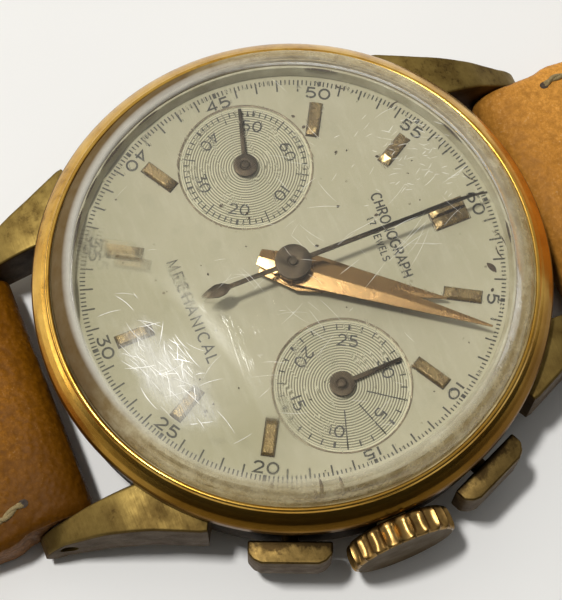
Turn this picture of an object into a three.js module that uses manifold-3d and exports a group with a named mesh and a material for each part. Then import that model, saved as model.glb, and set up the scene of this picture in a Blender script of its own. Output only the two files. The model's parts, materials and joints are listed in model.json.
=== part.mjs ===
// Gold two-register chronograph wristwatch on an open two-piece leather strap.
// Millimetres. +Z runs up through the dial, +Y to 12 o'clock, +X to the crown at 3 o'clock.
// The origin is the centre of the case back's flat outer face, which rests on the table at Z = 0.
import * as THREE from 'three';
import { mergeVertices } from 'three/addons/utils/BufferGeometryUtils.js';
import { ConvexGeometry } from 'three/addons/geometries/ConvexGeometry.js';
import Module from 'manifold-3d';

const wasm = await Module();
wasm.setup();

// ---- driving dimensions ----
const CASE_RADIUS = 18;
const CASE_BOTTOM = 1.6;
const CASE_TOP = 6.85;
const CASE_BORE = 15.25;
const NECK_BORE = 16.05;
const NECK_RADIUS = 16.35;
const NECK_TOP = 8.1;
const BEZEL_RADIUS = 18.5;
const BEZEL_TOP = 9.15;
const CRYSTAL_RADIUS = 16.9;
const CRYSTAL_TOP = 12.8;
const DIAL_TOP = 7.8;
const DIAL_THICKNESS = 0.4;
const DIAL_RADIUS = 15.9;
const REGISTER_OFFSET = 8.82;
const REGISTER_RADIUS = 4.9;
const REGISTER_DEPTH = 0.12;
const INDEX_INNER = 10.85;
const INDEX_OUTER = 13.31;
const INDEX_WIDTH = 0.8;
const LUG_GAP_HALF = 9.5;
const BAR_Y = 21.5;
const BAR_Z = 2.4;
const CROWN_Z = 3.95;
const CROWN_RADIUS = 3.9;
const CROWN_INNER_X = 18.62;
const CROWN_OUTER_X = 20.5;
const PUSHER_ANGLE = THREE.MathUtils.degToRad(23);
const PUSHER_Z = 4.05;
const PUSHER_WIDTH = 5.8;
const PUSHER_OUTER = 20.2;
const PUSHER_INNER = 18.65;
const PLATE_RADIUS = 14.6;
const PLATE_Z = [5.0, 6.6];
const BRIDGE_Z = [2.45, 3.35];
const BRIDGE_RADIUS = 14.1;
const LEVER_Z = [1.05, 1.4];
const TAB_RADIUS = 13.98;
const STRAP_HALF_WIDTH = 9.4;
const STRAP_END_HALF_WIDTH = 8;
const BUCKLE_REACH = 75;
const TIP_REACH = 115;
const RING_SIDES = 48;
const WHEEL_SIDES = 12;

// positions of the movement's arbors, seen from the dial side
const AXES = {
  centre: [0, 0],
  barrel: [2.2, 6.95],
  third: [-4.6, -2.0],
  fourth: [-REGISTER_OFFSET, 0],
  counter: [REGISTER_OFFSET, 0],
  escape: [-9.9, -4.1],
  pallet: [-7.06, -6.31],
  balance: [-3.6, -9.0],
  crownWheel: [8.3, 4.07],
  minuteWheel: [-3.0, 3.0],
  column: [7.4, 9.6],
  operating: [9.6, 9.4],
  reset: [9.6, -9.4],
};

// the time shown: seven minutes past one, the chronograph at zero
const CLOCK_DEGREES = { hour: 33.6, minute: 39.9, seconds: 286.5, chronograph: 0, counter: 358 };

// ---- materials ----
function material(color, roughness, metalness) {
  return new THREE.MeshStandardMaterial({ color, roughness, metalness });
}
const GOLD = () => material(0xb8862f, 0.32, 1);
const OLD_GOLD = () => material(0x8d7637, 0.5, 1);
const ROSE_GOLD = () => material(0xc98a4e, 0.3, 1);
const STEEL = () => material(0x9b9b98, 0.35, 1);
const BRASS = () => material(0xb49a55, 0.35, 1);
const NICKEL = () => material(0xa8a79d, 0.4, 1);
const BLUED = () => material(0x2a2523, 0.35, 1);
const SILVERED = () => material(0xb9b7a0, 0.6, 0.2);
const ACRYLIC = () => material(0xf2f0e2, 0.08, 0);
const LEATHER = () => material(0xa9672c, 0.7, 0);

// ---- solids ----
function solid(geometry) {
  const bare = geometry.clone();
  bare.deleteAttribute('normal');
  bare.deleteAttribute('uv');
  const merged = mergeVertices(bare, 1e-4);
  const position = merged.attributes.position;
  const index = merged.index.array;
  const corner = (i) => new THREE.Vector3().fromBufferAttribute(position, i);
  const triangles = [];
  let volume = 0;
  for (let i = 0; i < index.length; i += 3) {
    const [a, b, c] = [index[i], index[i + 1], index[i + 2]];
    if (a !== b && b !== c && c !== a) {
      triangles.push([a, b, c]);
      volume += corner(a).dot(corner(b).cross(corner(c)));
    }
  }
  const outward = volume < 0 ? triangles.map(([a, b, c]) => [a, c, b]) : triangles;
  return new wasm.Manifold(new wasm.Mesh({
    numProp: 3,
    vertProperties: new Float32Array(position.array),
    triVerts: new Uint32Array(outward.flat()),
  }));
}

function geometryOf(body) {
  const mesh = body.getMesh();
  const geometry = new THREE.BufferGeometry();
  const points = new Float32Array(mesh.vertProperties);
  geometry.setAttribute('position', new THREE.BufferAttribute(points, 3));
  geometry.setIndex(new THREE.BufferAttribute(new Uint32Array(mesh.triVerts), 1));
  geometry.computeVertexNormals();
  return geometry;
}

// a turned body about Z; profile is [radius, z] pairs, closed unless it starts on the axis
function turned(profile, sides = WHEEL_SIDES) {
  const points = profile.map(([r, z]) => new THREE.Vector2(r, z));
  if (profile[0][0] > 0) {
    points.push(points[0].clone());
  }
  return solid(new THREE.LatheGeometry(points, sides).rotateX(Math.PI / 2));
}

function disc(radius, bottom, top, sides = WHEEL_SIDES) {
  return turned([[0, bottom], [radius, bottom], [radius, top], [0, top]], sides);
}

function tube(inner, outer, bottom, top, sides = WHEEL_SIDES) {
  return turned([[inner, bottom], [outer, bottom], [outer, top], [inner, top]], sides);
}

function rod(radius, from, to, sides = WHEEL_SIDES) {
  const start = new THREE.Vector3(...from);
  const end = new THREE.Vector3(...to);
  const along = end.clone().sub(start);
  const geometry = new THREE.CylinderGeometry(radius, radius, along.length(), sides);
  const turn = new THREE.Quaternion();
  turn.setFromUnitVectors(new THREE.Vector3(0, 1, 0), along.clone().normalize());
  geometry.applyQuaternion(turn);
  geometry.translate(...start.add(end).multiplyScalar(0.5).toArray());
  return solid(geometry);
}

function circlePoints(x, y, radius, sides = 10) {
  const points = [];
  for (let i = 0; i < sides; i += 1) {
    const angle = (2 * Math.PI * i) / sides;
    points.push([x + radius * Math.cos(angle), y + radius * Math.sin(angle)]);
  }
  return points;
}

function arcPoints(radius, startDegrees, endDegrees, steps) {
  const points = [];
  for (let i = 0; i <= steps; i += 1) {
    const angle = THREE.MathUtils.degToRad(startDegrees + ((endDegrees - startDegrees) * i) / steps);
    points.push([radius * Math.cos(angle), radius * Math.sin(angle)]);
  }
  return points;
}

// a flat plate along Z from an outline and its holes
function plateGeometry(outline, bottom, top, holes = []) {
  const toVectors = (points) => points.map(([x, y]) => new THREE.Vector2(x, y));
  const shape = new THREE.Shape(toVectors(outline));
  shape.holes = holes.map((hole) => new THREE.Path(toVectors(hole)));
  const geometry = new THREE.ExtrudeGeometry(shape, { depth: top - bottom, bevelEnabled: false });
  return geometry.translate(0, 0, bottom);
}

function plate(outline, bottom, top, holes = []) {
  return solid(plateGeometry(outline, bottom, top, holes));
}

// a plate whose outline is given in the Y-Z plane and which runs along X
function sidePlate(outline, fromX, toX, holes = []) {
  const basis = new THREE.Matrix4().makeBasis(
    new THREE.Vector3(0, 1, 0),
    new THREE.Vector3(0, 0, 1),
    new THREE.Vector3(1, 0, 0),
  );
  return solid(plateGeometry(outline, fromX, toX, holes).applyMatrix4(basis));
}

// a straight bar with round ends, from one point to another
function stadium([ax, ay], [bx, by], radius, bottom, top) {
  const heading = Math.atan2(by - ay, bx - ax);
  const outline = [];
  const steps = 5;
  for (const [x, y, start] of [[bx, by, heading - Math.PI / 2], [ax, ay, heading + Math.PI / 2]]) {
    for (let i = 0; i <= steps; i += 1) {
      const angle = start + (Math.PI * i) / steps;
      outline.push([x + radius * Math.cos(angle), y + radius * Math.sin(angle)]);
    }
  }
  return plate(outline, bottom, top);
}

function union(first, ...others) {
  return others.reduce((body, other) => body.add(other), first);
}

function gear(radius, teeth, bottom, top, bore = 0) {
  const depth = Math.min(0.35, (1.6 * radius) / teeth);
  const outline = [];
  for (let i = 0; i < 2 * teeth; i += 1) {
    const angle = (Math.PI * i) / teeth;
    const reach = i % 2 ? radius - depth : radius;
    outline.push([reach * Math.cos(angle), reach * Math.sin(angle)]);
  }
  return plate(outline, bottom, top, bore ? [circlePoints(0, 0, bore, WHEEL_SIDES)] : []);
}

// a flat coiled band with its two ends open
function spiral(innerRadius, outerRadius, turns, band, bottom, top) {
  const stepsPerTurn = 12;
  const steps = Math.round(turns * stepsPerTurn);
  const side = (offset) => {
    const points = [];
    for (let i = 0; i <= steps; i += 1) {
      const angle = (2 * Math.PI * i) / stepsPerTurn;
      const radius = innerRadius + ((outerRadius - innerRadius) * i) / steps + offset;
      points.push([radius * Math.cos(angle), radius * Math.sin(angle)]);
    }
    return points;
  };
  return plate([...side(band / 2), ...side(-band / 2).reverse()], bottom, top);
}

// ---- the assembly ----
const watch = new THREE.Group();

function place(name, body, finish, position = [0, 0, 0], turn = [0, 0, 0]) {
  const mesh = new THREE.Mesh(geometryOf(body), finish);
  mesh.name = name;
  mesh.position.set(...position);
  mesh.rotation.set(...turn);
  watch.add(mesh);
}

const onAxis = (name) => [...AXES[name], 0];

// ---- case ----
function lug(sideX, sideY) {
  const plan = [[9.5, 12.5], [13.4, 11.7], [14.65, 12.35], [13.1, 15.7], [12.0, 18.7], [11.1, 21.7],
    [10.9, 23.3], [LUG_GAP_HALF, 23.3]];
  const side = [[11, 1.85], [15.8, 1.8], [18, 1.35], [20.2, 0.7], [21.6, 0.3], [22.6, 0.3], [23.1, 0.8],
    [23.25, 1.4], [23.0, 2.2], [22.4, 3.05], [21.6, 3.75], [20.6, 4.5], [19.2, 5.5], [17.2, 6.3], [15.8, 6.55], [11, 6.6]];
  const block = plate(plan.map(([x, y]) => [sideX * x, sideY * y]), 0, 8);
  const profile = sidePlate(side.map(([y, z]) => [sideY * y, z]), -20, 20);
  return block.intersect(profile);
}

function caseMiddle() {
  const profile = [[CASE_BORE, CASE_BOTTOM], [17.6, CASE_BOTTOM], [CASE_RADIUS, 2.1],
    [CASE_RADIUS, CASE_TOP], [NECK_RADIUS, CASE_TOP], [NECK_RADIUS, NECK_TOP], [NECK_BORE, NECK_TOP],
    [NECK_BORE, DIAL_TOP - DIAL_THICKNESS - 0.05], [CASE_BORE, DIAL_TOP - DIAL_THICKNESS - 0.05]];
  let body = turned(profile, RING_SIDES);
  for (const sideX of [-1, 1]) {
    for (const sideY of [-1, 1]) {
      body = body.add(lug(sideX, sideY));
    }
  }
  const barHoleRadius = 0.65;
  for (const sideY of [-1, 1]) {
    body = body.subtract(rod(barHoleRadius, [-14, sideY * BAR_Y, BAR_Z], [14, sideY * BAR_Y, BAR_Z]));
  }
  body = body.subtract(rod(1.15, [14, 0, CROWN_Z], [19, 0, CROWN_Z]));
  for (const angle of [-PUSHER_ANGLE, PUSHER_ANGLE]) {
    const [dx, dy] = [Math.cos(angle), Math.sin(angle)];
    body = body.subtract(rod(0.75, [14 * dx, 14 * dy, PUSHER_Z], [19 * dx, 19 * dy, PUSHER_Z]));
  }
  return body;
}

function bezel() {
  return turned([[16.42, 6.9], [BEZEL_RADIUS, 6.9], [BEZEL_RADIUS, 7.65], [18.2, 8.3], [17.75, 8.8],
    [17.35, 9.05], [17.2, BEZEL_TOP], [17.02, BEZEL_TOP], [16.97, 8.2], [16.42, 8.2]], RING_SIDES);
}

function crystal() {
  const dome = (apex, sag, edge, steps) => {
    const points = [];
    for (let i = 0; i <= steps; i += 1) {
      const radius = (edge * i) / steps;
      points.push([radius, apex - sag * (radius / edge) ** 2]);
    }
    return points;
  };
  const inside = dome(CRYSTAL_TOP - 1.15, 1.34, 15.2, 4);
  const outside = dome(CRYSTAL_TOP, 1.95, 15.8, 5).reverse();
  const wall = [[15.85, 9.5], [16.02, 8.9], [16.02, 8.24], [CRYSTAL_RADIUS, 8.24], [CRYSTAL_RADIUS, 9.5],
    [16.55, 10.3]];
  return turned([...inside, ...wall, ...outside], 40);
}

function caseBack() {
  return turned([[0, 0], [15.6, 0], [16.9, 0.9], [17.0, 1.5], [15.15, 1.5], [15.15, 2.4], [14.85, 2.4],
    [14.85, 0.8], [0, 0.8]], 40);
}

function movementRing() {
  let body = tube(14.75, 15.16, 2.5, 6.9, 40);
  body = body.subtract(rod(0.8, [13, 0, CROWN_Z], [17, 0, CROWN_Z]));
  for (const angle of [-PUSHER_ANGLE, PUSHER_ANGLE]) {
    const [dx, dy] = [Math.cos(angle), Math.sin(angle)];
    body = body.subtract(rod(0.8, [13 * dx, 13 * dy, PUSHER_Z], [17 * dx, 17 * dy, PUSHER_Z]));
  }
  return body;
}

function springBar() {
  const shoulder = 9.35;
  const tip = 10.6;
  return union(
    rod(0.75, [-shoulder, 0, 0], [shoulder, 0, 0]),
    rod(0.5, [-tip, 0, 0], [tip, 0, 0]),
  );
}

place('case_middle', caseMiddle(), OLD_GOLD());
place('bezel', bezel(), GOLD());
place('crystal', crystal(), ACRYLIC());
place('case_back', caseBack(), OLD_GOLD());
place('movement_ring', movementRing(), BRASS());
place('crown_tube', tube(0.65, 1.1, 0, 2.9), BRASS(), [15.3, 0, CROWN_Z], [0, Math.PI / 2, 0]);
place('spring_bar_12', springBar(), STEEL(), [0, BAR_Y, BAR_Z]);
place('spring_bar_6', springBar(), STEEL(), [0, -BAR_Y, BAR_Z]);

// ---- dial, reflector ring and indexes ----
function dial() {
  const bottom = DIAL_TOP - DIAL_THICKNESS;
  const holes = [circlePoints(0, 0, 1.06, 16), circlePoints(-REGISTER_OFFSET, 0, 0.35),
    circlePoints(REGISTER_OFFSET, 0, 0.35)];
  let body = plate(circlePoints(0, 0, DIAL_RADIUS, 48), bottom, DIAL_TOP, holes);
  for (const x of [-REGISTER_OFFSET, REGISTER_OFFSET]) {
    const well = plate(circlePoints(x, 0, REGISTER_RADIUS, 40), DIAL_TOP - REGISTER_DEPTH, DIAL_TOP + 1);
    body = body.subtract(well);
  }
  return body;
}

// a flat-topped applied bar lying along +Y, centred on x, its inner end cut down to a facet
function indexBar(width, x) {
  const levels = [
    { z: 0, inset: 0, nose: 0 },
    { z: 0.14, inset: 0, nose: 0 },
    { z: 0.38, inset: 0.1, nose: 0.55 },
  ];
  const points = [];
  for (const { z, inset, nose } of levels) {
    for (const side of [-width / 2 + inset, width / 2 - inset]) {
      points.push(new THREE.Vector3(x + side, INDEX_INNER + nose, z));
      points.push(new THREE.Vector3(x + side, INDEX_OUTER - inset, z));
    }
  }
  return solid(new ConvexGeometry(points));
}

function clockTurn(degrees) {
  return [0, 0, -THREE.MathUtils.degToRad(degrees)];
}

place('reflector_ring', turned([[15.35, 7.85], [15.92, 7.85], [15.92, 8.95], [15.6, 8.95]], 48), NICKEL());
place('dial', dial(), SILVERED());
const INDEX_Z = DIAL_TOP + 0.02;
for (const hour of [1, 2, 4, 5, 6, 7, 8, 10, 11]) {
  const name = `index_${String(hour).padStart(2, '0')}`;
  place(name, indexBar(INDEX_WIDTH, 0), ROSE_GOLD(), [0, 0, INDEX_Z], clockTurn(hour * 30));
}
const TWIN_WIDTH = 0.8;
const twinIndex = union(indexBar(TWIN_WIDTH, -0.39), indexBar(TWIN_WIDTH, 0.39));
place('index_12', twinIndex, ROSE_GOLD(), [0, 0, INDEX_Z]);

// ---- hands ----
// a two-facet dauphine hand pointing along +Y, from its tail to its tip, with a boss and a bore
function dauphine({ tip, halfWidth, tail, tailHalfWidth, base, boss, bore }) {
  const edge = 0.1;
  const ridge = 0.26;
  const points = [];
  for (const [x, y] of [[halfWidth, 0.6], [tailHalfWidth, -tail], [0.05, tip]]) {
    for (const side of [-x, x]) {
      points.push(new THREE.Vector3(side, y, base), new THREE.Vector3(side, y, base + edge));
    }
  }
  points.push(new THREE.Vector3(0, 1 - tail, base + ridge), new THREE.Vector3(0, tip - 1.5, base + ridge));
  const blade = solid(new ConvexGeometry(points));
  const ring = disc(boss, base - 0.04, base + ridge + 0.04, 16);
  return blade.add(ring).subtract(disc(bore, base - 1, base + 1, 16));
}

// a flat dark hand: its outline, a round hub and a bore
function flatHand(outline, base, thickness, hub, bore) {
  const blade = plate(outline, base, base + thickness);
  const boss = disc(hub, base - 0.06, base + thickness + 0.12, 20);
  return blade.add(boss).subtract(disc(bore, base - 1, base + 1, WHEEL_SIDES));
}

const HOUR_HAND_Z = 8.52;
const MINUTE_HAND_Z = 9.02;
const CHRONO_HAND_Z = 9.95;
const REGISTER_HAND_Z = 7.95;
const hourHand = dauphine({ tip: 11, halfWidth: 1.5, tail: 2.3, tailHalfWidth: 0.75, base: HOUR_HAND_Z,
  boss: 1.3, bore: 0.99 });
const minuteHand = dauphine({ tip: 14.5, halfWidth: 1.2, tail: 2.5, tailHalfWidth: 0.6,
  base: MINUTE_HAND_Z, boss: 1.1, bore: 0.75 });
const sweep = [[0.17, 0], [0.08, 14.9], [-0.08, 14.9], [-0.17, 0], [-0.17, -4.8], [-0.42, -5.2],
  [-0.5, -5.7], [-0.3, -6.35], [0, -6.9], [0.3, -6.35], [0.5, -5.7], [0.42, -5.2], [0.17, -4.8]];
const baton = [[0.2, -1.4], [0.2, 0], [0.1, 4.5], [-0.1, 4.5], [-0.2, 0], [-0.2, -1.4]];
const CHRONO_HUB = 1.19;
const REGISTER_HUB = 0.87;
const ARBOR_RADIUS = 0.18;
const HAND_BORE = 0.21;
const registerHand = () => flatHand(baton, REGISTER_HAND_Z, 0.1, REGISTER_HUB, HAND_BORE);
const chronographHand = flatHand(sweep, CHRONO_HAND_Z, 0.12, CHRONO_HUB, HAND_BORE);
place('hour_hand', hourHand, ROSE_GOLD(), [0, 0, 0], clockTurn(CLOCK_DEGREES.hour));
place('minute_hand', minuteHand, ROSE_GOLD(), [0, 0, 0], clockTurn(CLOCK_DEGREES.minute));
place('chronograph_hand', chronographHand, BLUED(), [0, 0, 0], clockTurn(CLOCK_DEGREES.chronograph));
place('small_seconds_hand', registerHand(), BLUED(), onAxis('fourth'), clockTurn(CLOCK_DEGREES.seconds));
place('minute_counter_hand', registerHand(), BLUED(), onAxis('counter'), clockTurn(CLOCK_DEGREES.counter));

// ---- crown and pushers ----
function crown() {
  const flutes = 23;
  const stepsPerFlute = 4;
  const outline = [];
  for (let i = 0; i < flutes * stepsPerFlute; i += 1) {
    const phase = (i % stepsPerFlute) / stepsPerFlute;
    const radius = CROWN_RADIUS - 0.24 * Math.sin(Math.PI * phase);
    const angle = (2 * Math.PI * i) / (flutes * stepsPerFlute);
    outline.push([radius * Math.cos(angle), radius * Math.sin(angle)]);
  }
  const depth = CROWN_OUTER_X - CROWN_INNER_X;
  const rim = turned([[0, 0], [3.45, 0], [3.95, 0.3], [3.95, depth - 0.25], [3.63, depth], [0, depth]], 24);
  const bore = disc(0.55, -1, depth - 0.55);
  return plate(outline, 0, depth).intersect(rim).subtract(bore);
}

function pusher() {
  const half = PUSHER_WIDTH / 2;
  const plan = [[PUSHER_INNER, -half], [19.5, -half], [20.0, -half + 0.3], [PUSHER_OUTER, -half + 0.8],
    [PUSHER_OUTER, half - 0.8], [20.0, half - 0.3], [19.5, half], [PUSHER_INNER, half]];
  const half_z = 1.8;
  const face = [[-half - 1, -half_z], [half + 1, -half_z], [half + 1, half_z], [-half - 1, half_z]];
  const cap = plate(plan, -half_z, half_z);
  const bevelled = sidePlate(face, PUSHER_INNER - 1, PUSHER_OUTER - 0.3);
  const lip = half_z - 0.3;
  const nose = sidePlate(face.map(([y, z]) => [y, Math.sign(z) * lip]), PUSHER_INNER, PUSHER_OUTER + 1);
  return union(cap.intersect(bevelled.add(nose)), rod(0.6, [14.55, 0, 0], [PUSHER_INNER + 0.3, 0, 0]));
}

const STEM_INNER_X = 9.6;
const STEM_OUTER_X = CROWN_OUTER_X - 0.65;
const stem = union(
  disc(0.5, STEM_INNER_X, STEM_OUTER_X),
  disc(0.6, 13.2, 14.4),
);
place('winding_stem', stem, STEEL(), [0, 0, CROWN_Z], [0, Math.PI / 2, 0]);
place('crown', crown(), GOLD(), [CROWN_INNER_X, 0, CROWN_Z], [0, Math.PI / 2, 0]);
place('pusher_start', pusher(), GOLD(), [0, 0, PUSHER_Z], [0, 0, PUSHER_ANGLE]);
place('pusher_reset', pusher(), GOLD(), [0, 0, PUSHER_Z], [0, 0, -PUSHER_ANGLE]);

// ---- movement: plate and bridges ----
const PIVOT_HOLE = 0.26;
const POST_HOLE = 0.42;
const hole = (axis, radius = PIVOT_HOLE) => circlePoints(...AXES[axis], radius, 8);
const pillar = (x, y) => disc(0.6, BRIDGE_Z[0] + 0.5, PLATE_Z[0] - 0.04, 10).translate([x, y, 0]);

function bridge(outline, holes, pillars) {
  return union(plate(outline, ...BRIDGE_Z, holes), ...pillars.map(([x, y]) => pillar(x, y)));
}

const mainPlate = plate(circlePoints(0, 0, PLATE_RADIUS, 48), ...PLATE_Z, [hole('centre', 0.58),
  hole('barrel', 0.45), ...['third', 'fourth', 'counter', 'escape', 'pallet', 'balance',
    'minuteWheel'].map((axis) => hole(axis))]);
const barrelBridge = bridge(
  [[11.6, 1.8], [11.6, 8.0], ...arcPoints(BRIDGE_RADIUS, 36, 166, 16), [-13.7, 1.8]],
  [hole('barrel', 0.74), hole('crownWheel', POST_HOLE), hole('column', POST_HOLE),
    hole('operating', POST_HOLE)],
  [[-10.5, 8.2], [11.0, 7.2]],
);
const trainBridge = bridge(
  [[-13.9, 1.4], [3.2, 1.4], [3.2, -5.2], [-5.5, -5.2], [-5.5, -7.4], ...arcPoints(13.9, 218, 186, 6)],
  [hole('centre', 0.58), hole('third'), hole('fourth'), hole('escape'), hole('pallet')],
  [[-12.95, -1.8], [2.6, -4.6]],
);
const chronographBridge = bridge(
  [[3.5, 1.4], [3.5, -8.0], [4.6, -11.2], ...arcPoints(BRIDGE_RADIUS, -56, -34, 4), [11.6, 1.4]],
  [hole('counter'), hole('reset', POST_HOLE)],
  [[11.0, -6.4], [5.6, -10.4]],
);
const COCK_FOOT = [2.2, -12.0];
const balanceCock = union(
  stadium(AXES.balance, COCK_FOOT, 1.5, ...BRIDGE_Z),
  pillar(...COCK_FOOT),
).subtract(disc(PIVOT_HOLE, 0, 5, 8).translate(onAxis('balance')));

place('main_plate', mainPlate, BRASS());
place('barrel_bridge', barrelBridge, NICKEL());
place('train_bridge', trainBridge, NICKEL());
place('chronograph_bridge', chronographBridge, NICKEL());
place('balance_cock', balanceCock, NICKEL());

// ---- movement: winding and going train ----
const arbor = (bottom, top, radius = ARBOR_RADIUS) => disc(radius, bottom, top, 8);
const ratchetWheel = union(gear(4.0, 30, 2.08, 2.33), disc(0.65, 2.2, 4.55), arbor(4.4, 6.0, 0.35));
const barrel = union(
  turned([[0.75, 4.35], [5.4, 4.35], [5.4, 3.5], [5.7, 3.5], [5.7, 4.6], [0.75, 4.6]], 24),
  gear(6.2, 42, 4.35, 4.6, 5.5),
);
const centreWheel = union(gear(4.2, 32, 4.7, 4.92), arbor(2.55, 9.0, 0.48), disc(0.95, 4.2, 4.8, 10))
  .subtract(arbor(0, 12, 0.26));
const thirdWheel = union(gear(3.9, 30, 4.0, 4.22), arbor(2.6, 5.9), disc(0.6, 4.3, 4.95, 10));
const fourthWheel = union(gear(3.6, 28, 3.5, 3.72), arbor(2.6, 8.14), disc(0.55, 3.9, 4.35, 10));
const escapeWheel = union(gear(2.6, 15, 4.4, 4.6), arbor(2.6, 5.9), disc(0.4, 3.42, 3.85, 10));
const crownWheel = union(gear(2.6, 20, 2.08, 2.33), arbor(2.2, 3.1, 0.34));
place('ratchet_wheel', ratchetWheel, STEEL(), onAxis('barrel'));
place('crown_wheel', crownWheel, STEEL(), onAxis('crownWheel'));
place('mainspring_barrel', barrel, BRASS(), onAxis('barrel'));
place('mainspring', spiral(1.3, 5.1, 4, 0.3, 3.6, 4.25), STEEL(), onAxis('barrel'));
place('centre_wheel', centreWheel, BRASS());
place('third_wheel', thirdWheel, BRASS(), onAxis('third'));
place('fourth_wheel', fourthWheel, BRASS(), onAxis('fourth'));
place('escape_wheel', escapeWheel, STEEL(), onAxis('escape'));

// ---- movement: escapement ----
function palletFork() {
  const [px, py] = AXES.pallet;
  const towards = ([x, y], length, sideways) => {
    const distance = Math.hypot(x - px, y - py);
    const [ux, uy] = [(x - px) / distance, (y - py) / distance];
    return [ux * length - uy * sideways, uy * length + ux * sideways];
  };
  const level = [4.4, 4.6];
  const pallets = [-1.9, 1.9].map((side) => [towards(AXES.escape, 0.1, side), towards(AXES.escape, 1.1, side)]);
  return union(
    stadium([0, 0], towards(AXES.balance, 2.9, 0), 0.22, ...level),
    ...pallets.map(([elbow]) => stadium([0, 0], elbow, 0.22, ...level)),
    ...pallets.map(([elbow, end]) => stadium(elbow, end, 0.18, ...level)),
    arbor(3.95, 5.9),
  );
}

const balanceRim = tube(3.55, 4.0, 3.6, 3.85, 32);
const balanceWheel = union(
  balanceRim,
  stadium([-3.7, 0], [3.7, 0], 0.22, 3.6, 3.85),
  disc(0.6, 3.6, 3.85),
  arbor(2.7, 5.9),
  disc(0.7, 4.35, 4.6),
);
place('pallet_fork', palletFork(), STEEL(), onAxis('pallet'));
place('balance_wheel', balanceWheel, BRASS(), onAxis('balance'));
place('hairspring', spiral(0.5, 2.3, 3.5, 0.1, 3.42, 3.52), STEEL(), onAxis('balance'));

// ---- movement: motion works under the dial ----
const cannonPinion = union(tube(0.52, 0.72, 6.66, 9.28), gear(1.1, 10, 6.66, 6.92, 0.6));
const hourWheel = union(tube(0.76, 0.96, 6.98, 8.78), gear(3.0, 32, 6.98, 7.2, 0.85));
const minuteWheel = union(gear(3.0, 30, 6.66, 6.88), gear(1.1, 8, 6.8, 7.2), arbor(5.6, 6.8));
place('cannon_pinion', cannonPinion, STEEL());
place('hour_wheel', hourWheel, BRASS());
place('minute_wheel', minuteWheel, BRASS(), onAxis('minuteWheel'));

// ---- movement: chronograph work on the back ----
// a flat lever on its post: one arm ends in an upright tab in front of a pusher's shaft
function lever(pivotAxis, pusherAngle, otherEnd) {
  const [px, py] = AXES[pivotAxis];
  const local = ([x, y]) => [x - px, y - py];
  const tab = local([TAB_RADIUS * Math.cos(pusherAngle), TAB_RADIUS * Math.sin(pusherAngle)]);
  const tabPost = disc(0.35, LEVER_Z[0], PUSHER_Z + 0.4, 10).translate([...tab, 0]);
  return union(
    stadium([0, 0], tab, 0.5, ...LEVER_Z),
    stadium([0, 0], local(otherEnd), 0.35, ...LEVER_Z),
    tabPost,
    disc(0.34, LEVER_Z[0], BRIDGE_Z[1] - 0.3, 8),
  );
}

function columnWheel() {
  const columns = 6;
  let body = union(gear(1.5, 12, 1.05, 1.4), disc(0.8, 1.3, 1.7), disc(0.34, 1.3, 3.05, 8));
  for (let i = 0; i < columns; i += 1) {
    const angle = (2 * Math.PI * i) / columns;
    const column = disc(0.22, 1.3, 2.1, 6).translate([1.0 * Math.cos(angle), 1.0 * Math.sin(angle), 0]);
    body = body.add(column);
  }
  return body;
}

const chronographWheel = union(gear(4.8, 40, 1.2, 1.45), disc(0.7, 1.0, 1.8), arbor(1.0, 10.15));
const counterWheel = union(gear(3.85, 30, 1.2, 1.45), disc(0.6, 1.0, 1.6), arbor(1.0, 8.14));
place('chronograph_wheel', chronographWheel, BRASS());
place('minute_counter_wheel', counterWheel, BRASS(), onAxis('counter'));
place('column_wheel', columnWheel(), STEEL(), onAxis('column'));
place('operating_lever', lever('operating', PUSHER_ANGLE, [8.95, 10.85]), STEEL(), onAxis('operating'));
place('reset_lever', lever('reset', -PUSHER_ANGLE, [5.8, -6.6]), STEEL(), onAxis('reset'));

// ---- strap ----
// a closed body lofted through rings of equal point counts, with flat ends
function loft(rings) {
  const count = rings[0].length;
  const positions = rings.flat(2);
  const index = [];
  for (let i = 0; i + 1 < rings.length; i += 1) {
    for (let j = 0; j < count; j += 1) {
      const [a, b] = [i * count + j, i * count + ((j + 1) % count)];
      index.push(a, b, a + count, b, b + count, a + count);
    }
  }
  const last = (rings.length - 1) * count;
  for (let j = 1; j + 1 < count; j += 1) {
    index.push(0, j + 1, j, last, last + j, last + j + 1);
  }
  const geometry = new THREE.BufferGeometry();
  geometry.setAttribute('position', new THREE.Float32BufferAttribute(positions, 3));
  geometry.setIndex(index);
  return solid(geometry);
}

// one cross-section of a strap: flat below, crowned above, with softened edges
function strapSection(reach, halfWidth, bottom, top) {
  const soft = Math.min(0.4, (top - bottom) / 3);
  return [
    [-halfWidth + soft, reach, bottom], [halfWidth - soft, reach, bottom],
    [halfWidth, reach, bottom + soft], [halfWidth, reach, top - 1.6 * soft],
    [halfWidth - 1.2, reach, top - 0.4 * soft], [halfWidth * 0.45, reach, top],
    [-halfWidth * 0.45, reach, top], [-halfWidth + 1.2, reach, top - 0.4 * soft],
    [-halfWidth, reach, top - 1.6 * soft], [-halfWidth, reach, bottom + soft],
  ];
}

// the padded end that wraps the spring bar: reach from the bar, half height
const LOOP = [[-2.7, 0.7], [-2.45, 1.35], [-1.8, 1.95], [-0.9, 2.28], [0, 2.35]];
const loopSections = LOOP.map(([reach, half]) => {
  const narrowing = reach < -2.5 ? 0.5 : 0;
  return strapSection(reach, STRAP_HALF_WIDTH - narrowing, BAR_Z - half, BAR_Z + half);
});
const BAR_CLEARANCE_HOLE = 0.95;
const barHole = (reach, z, half) => rod(BAR_CLEARANCE_HOLE, [-half, reach, z], [half, reach, z]);

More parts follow.
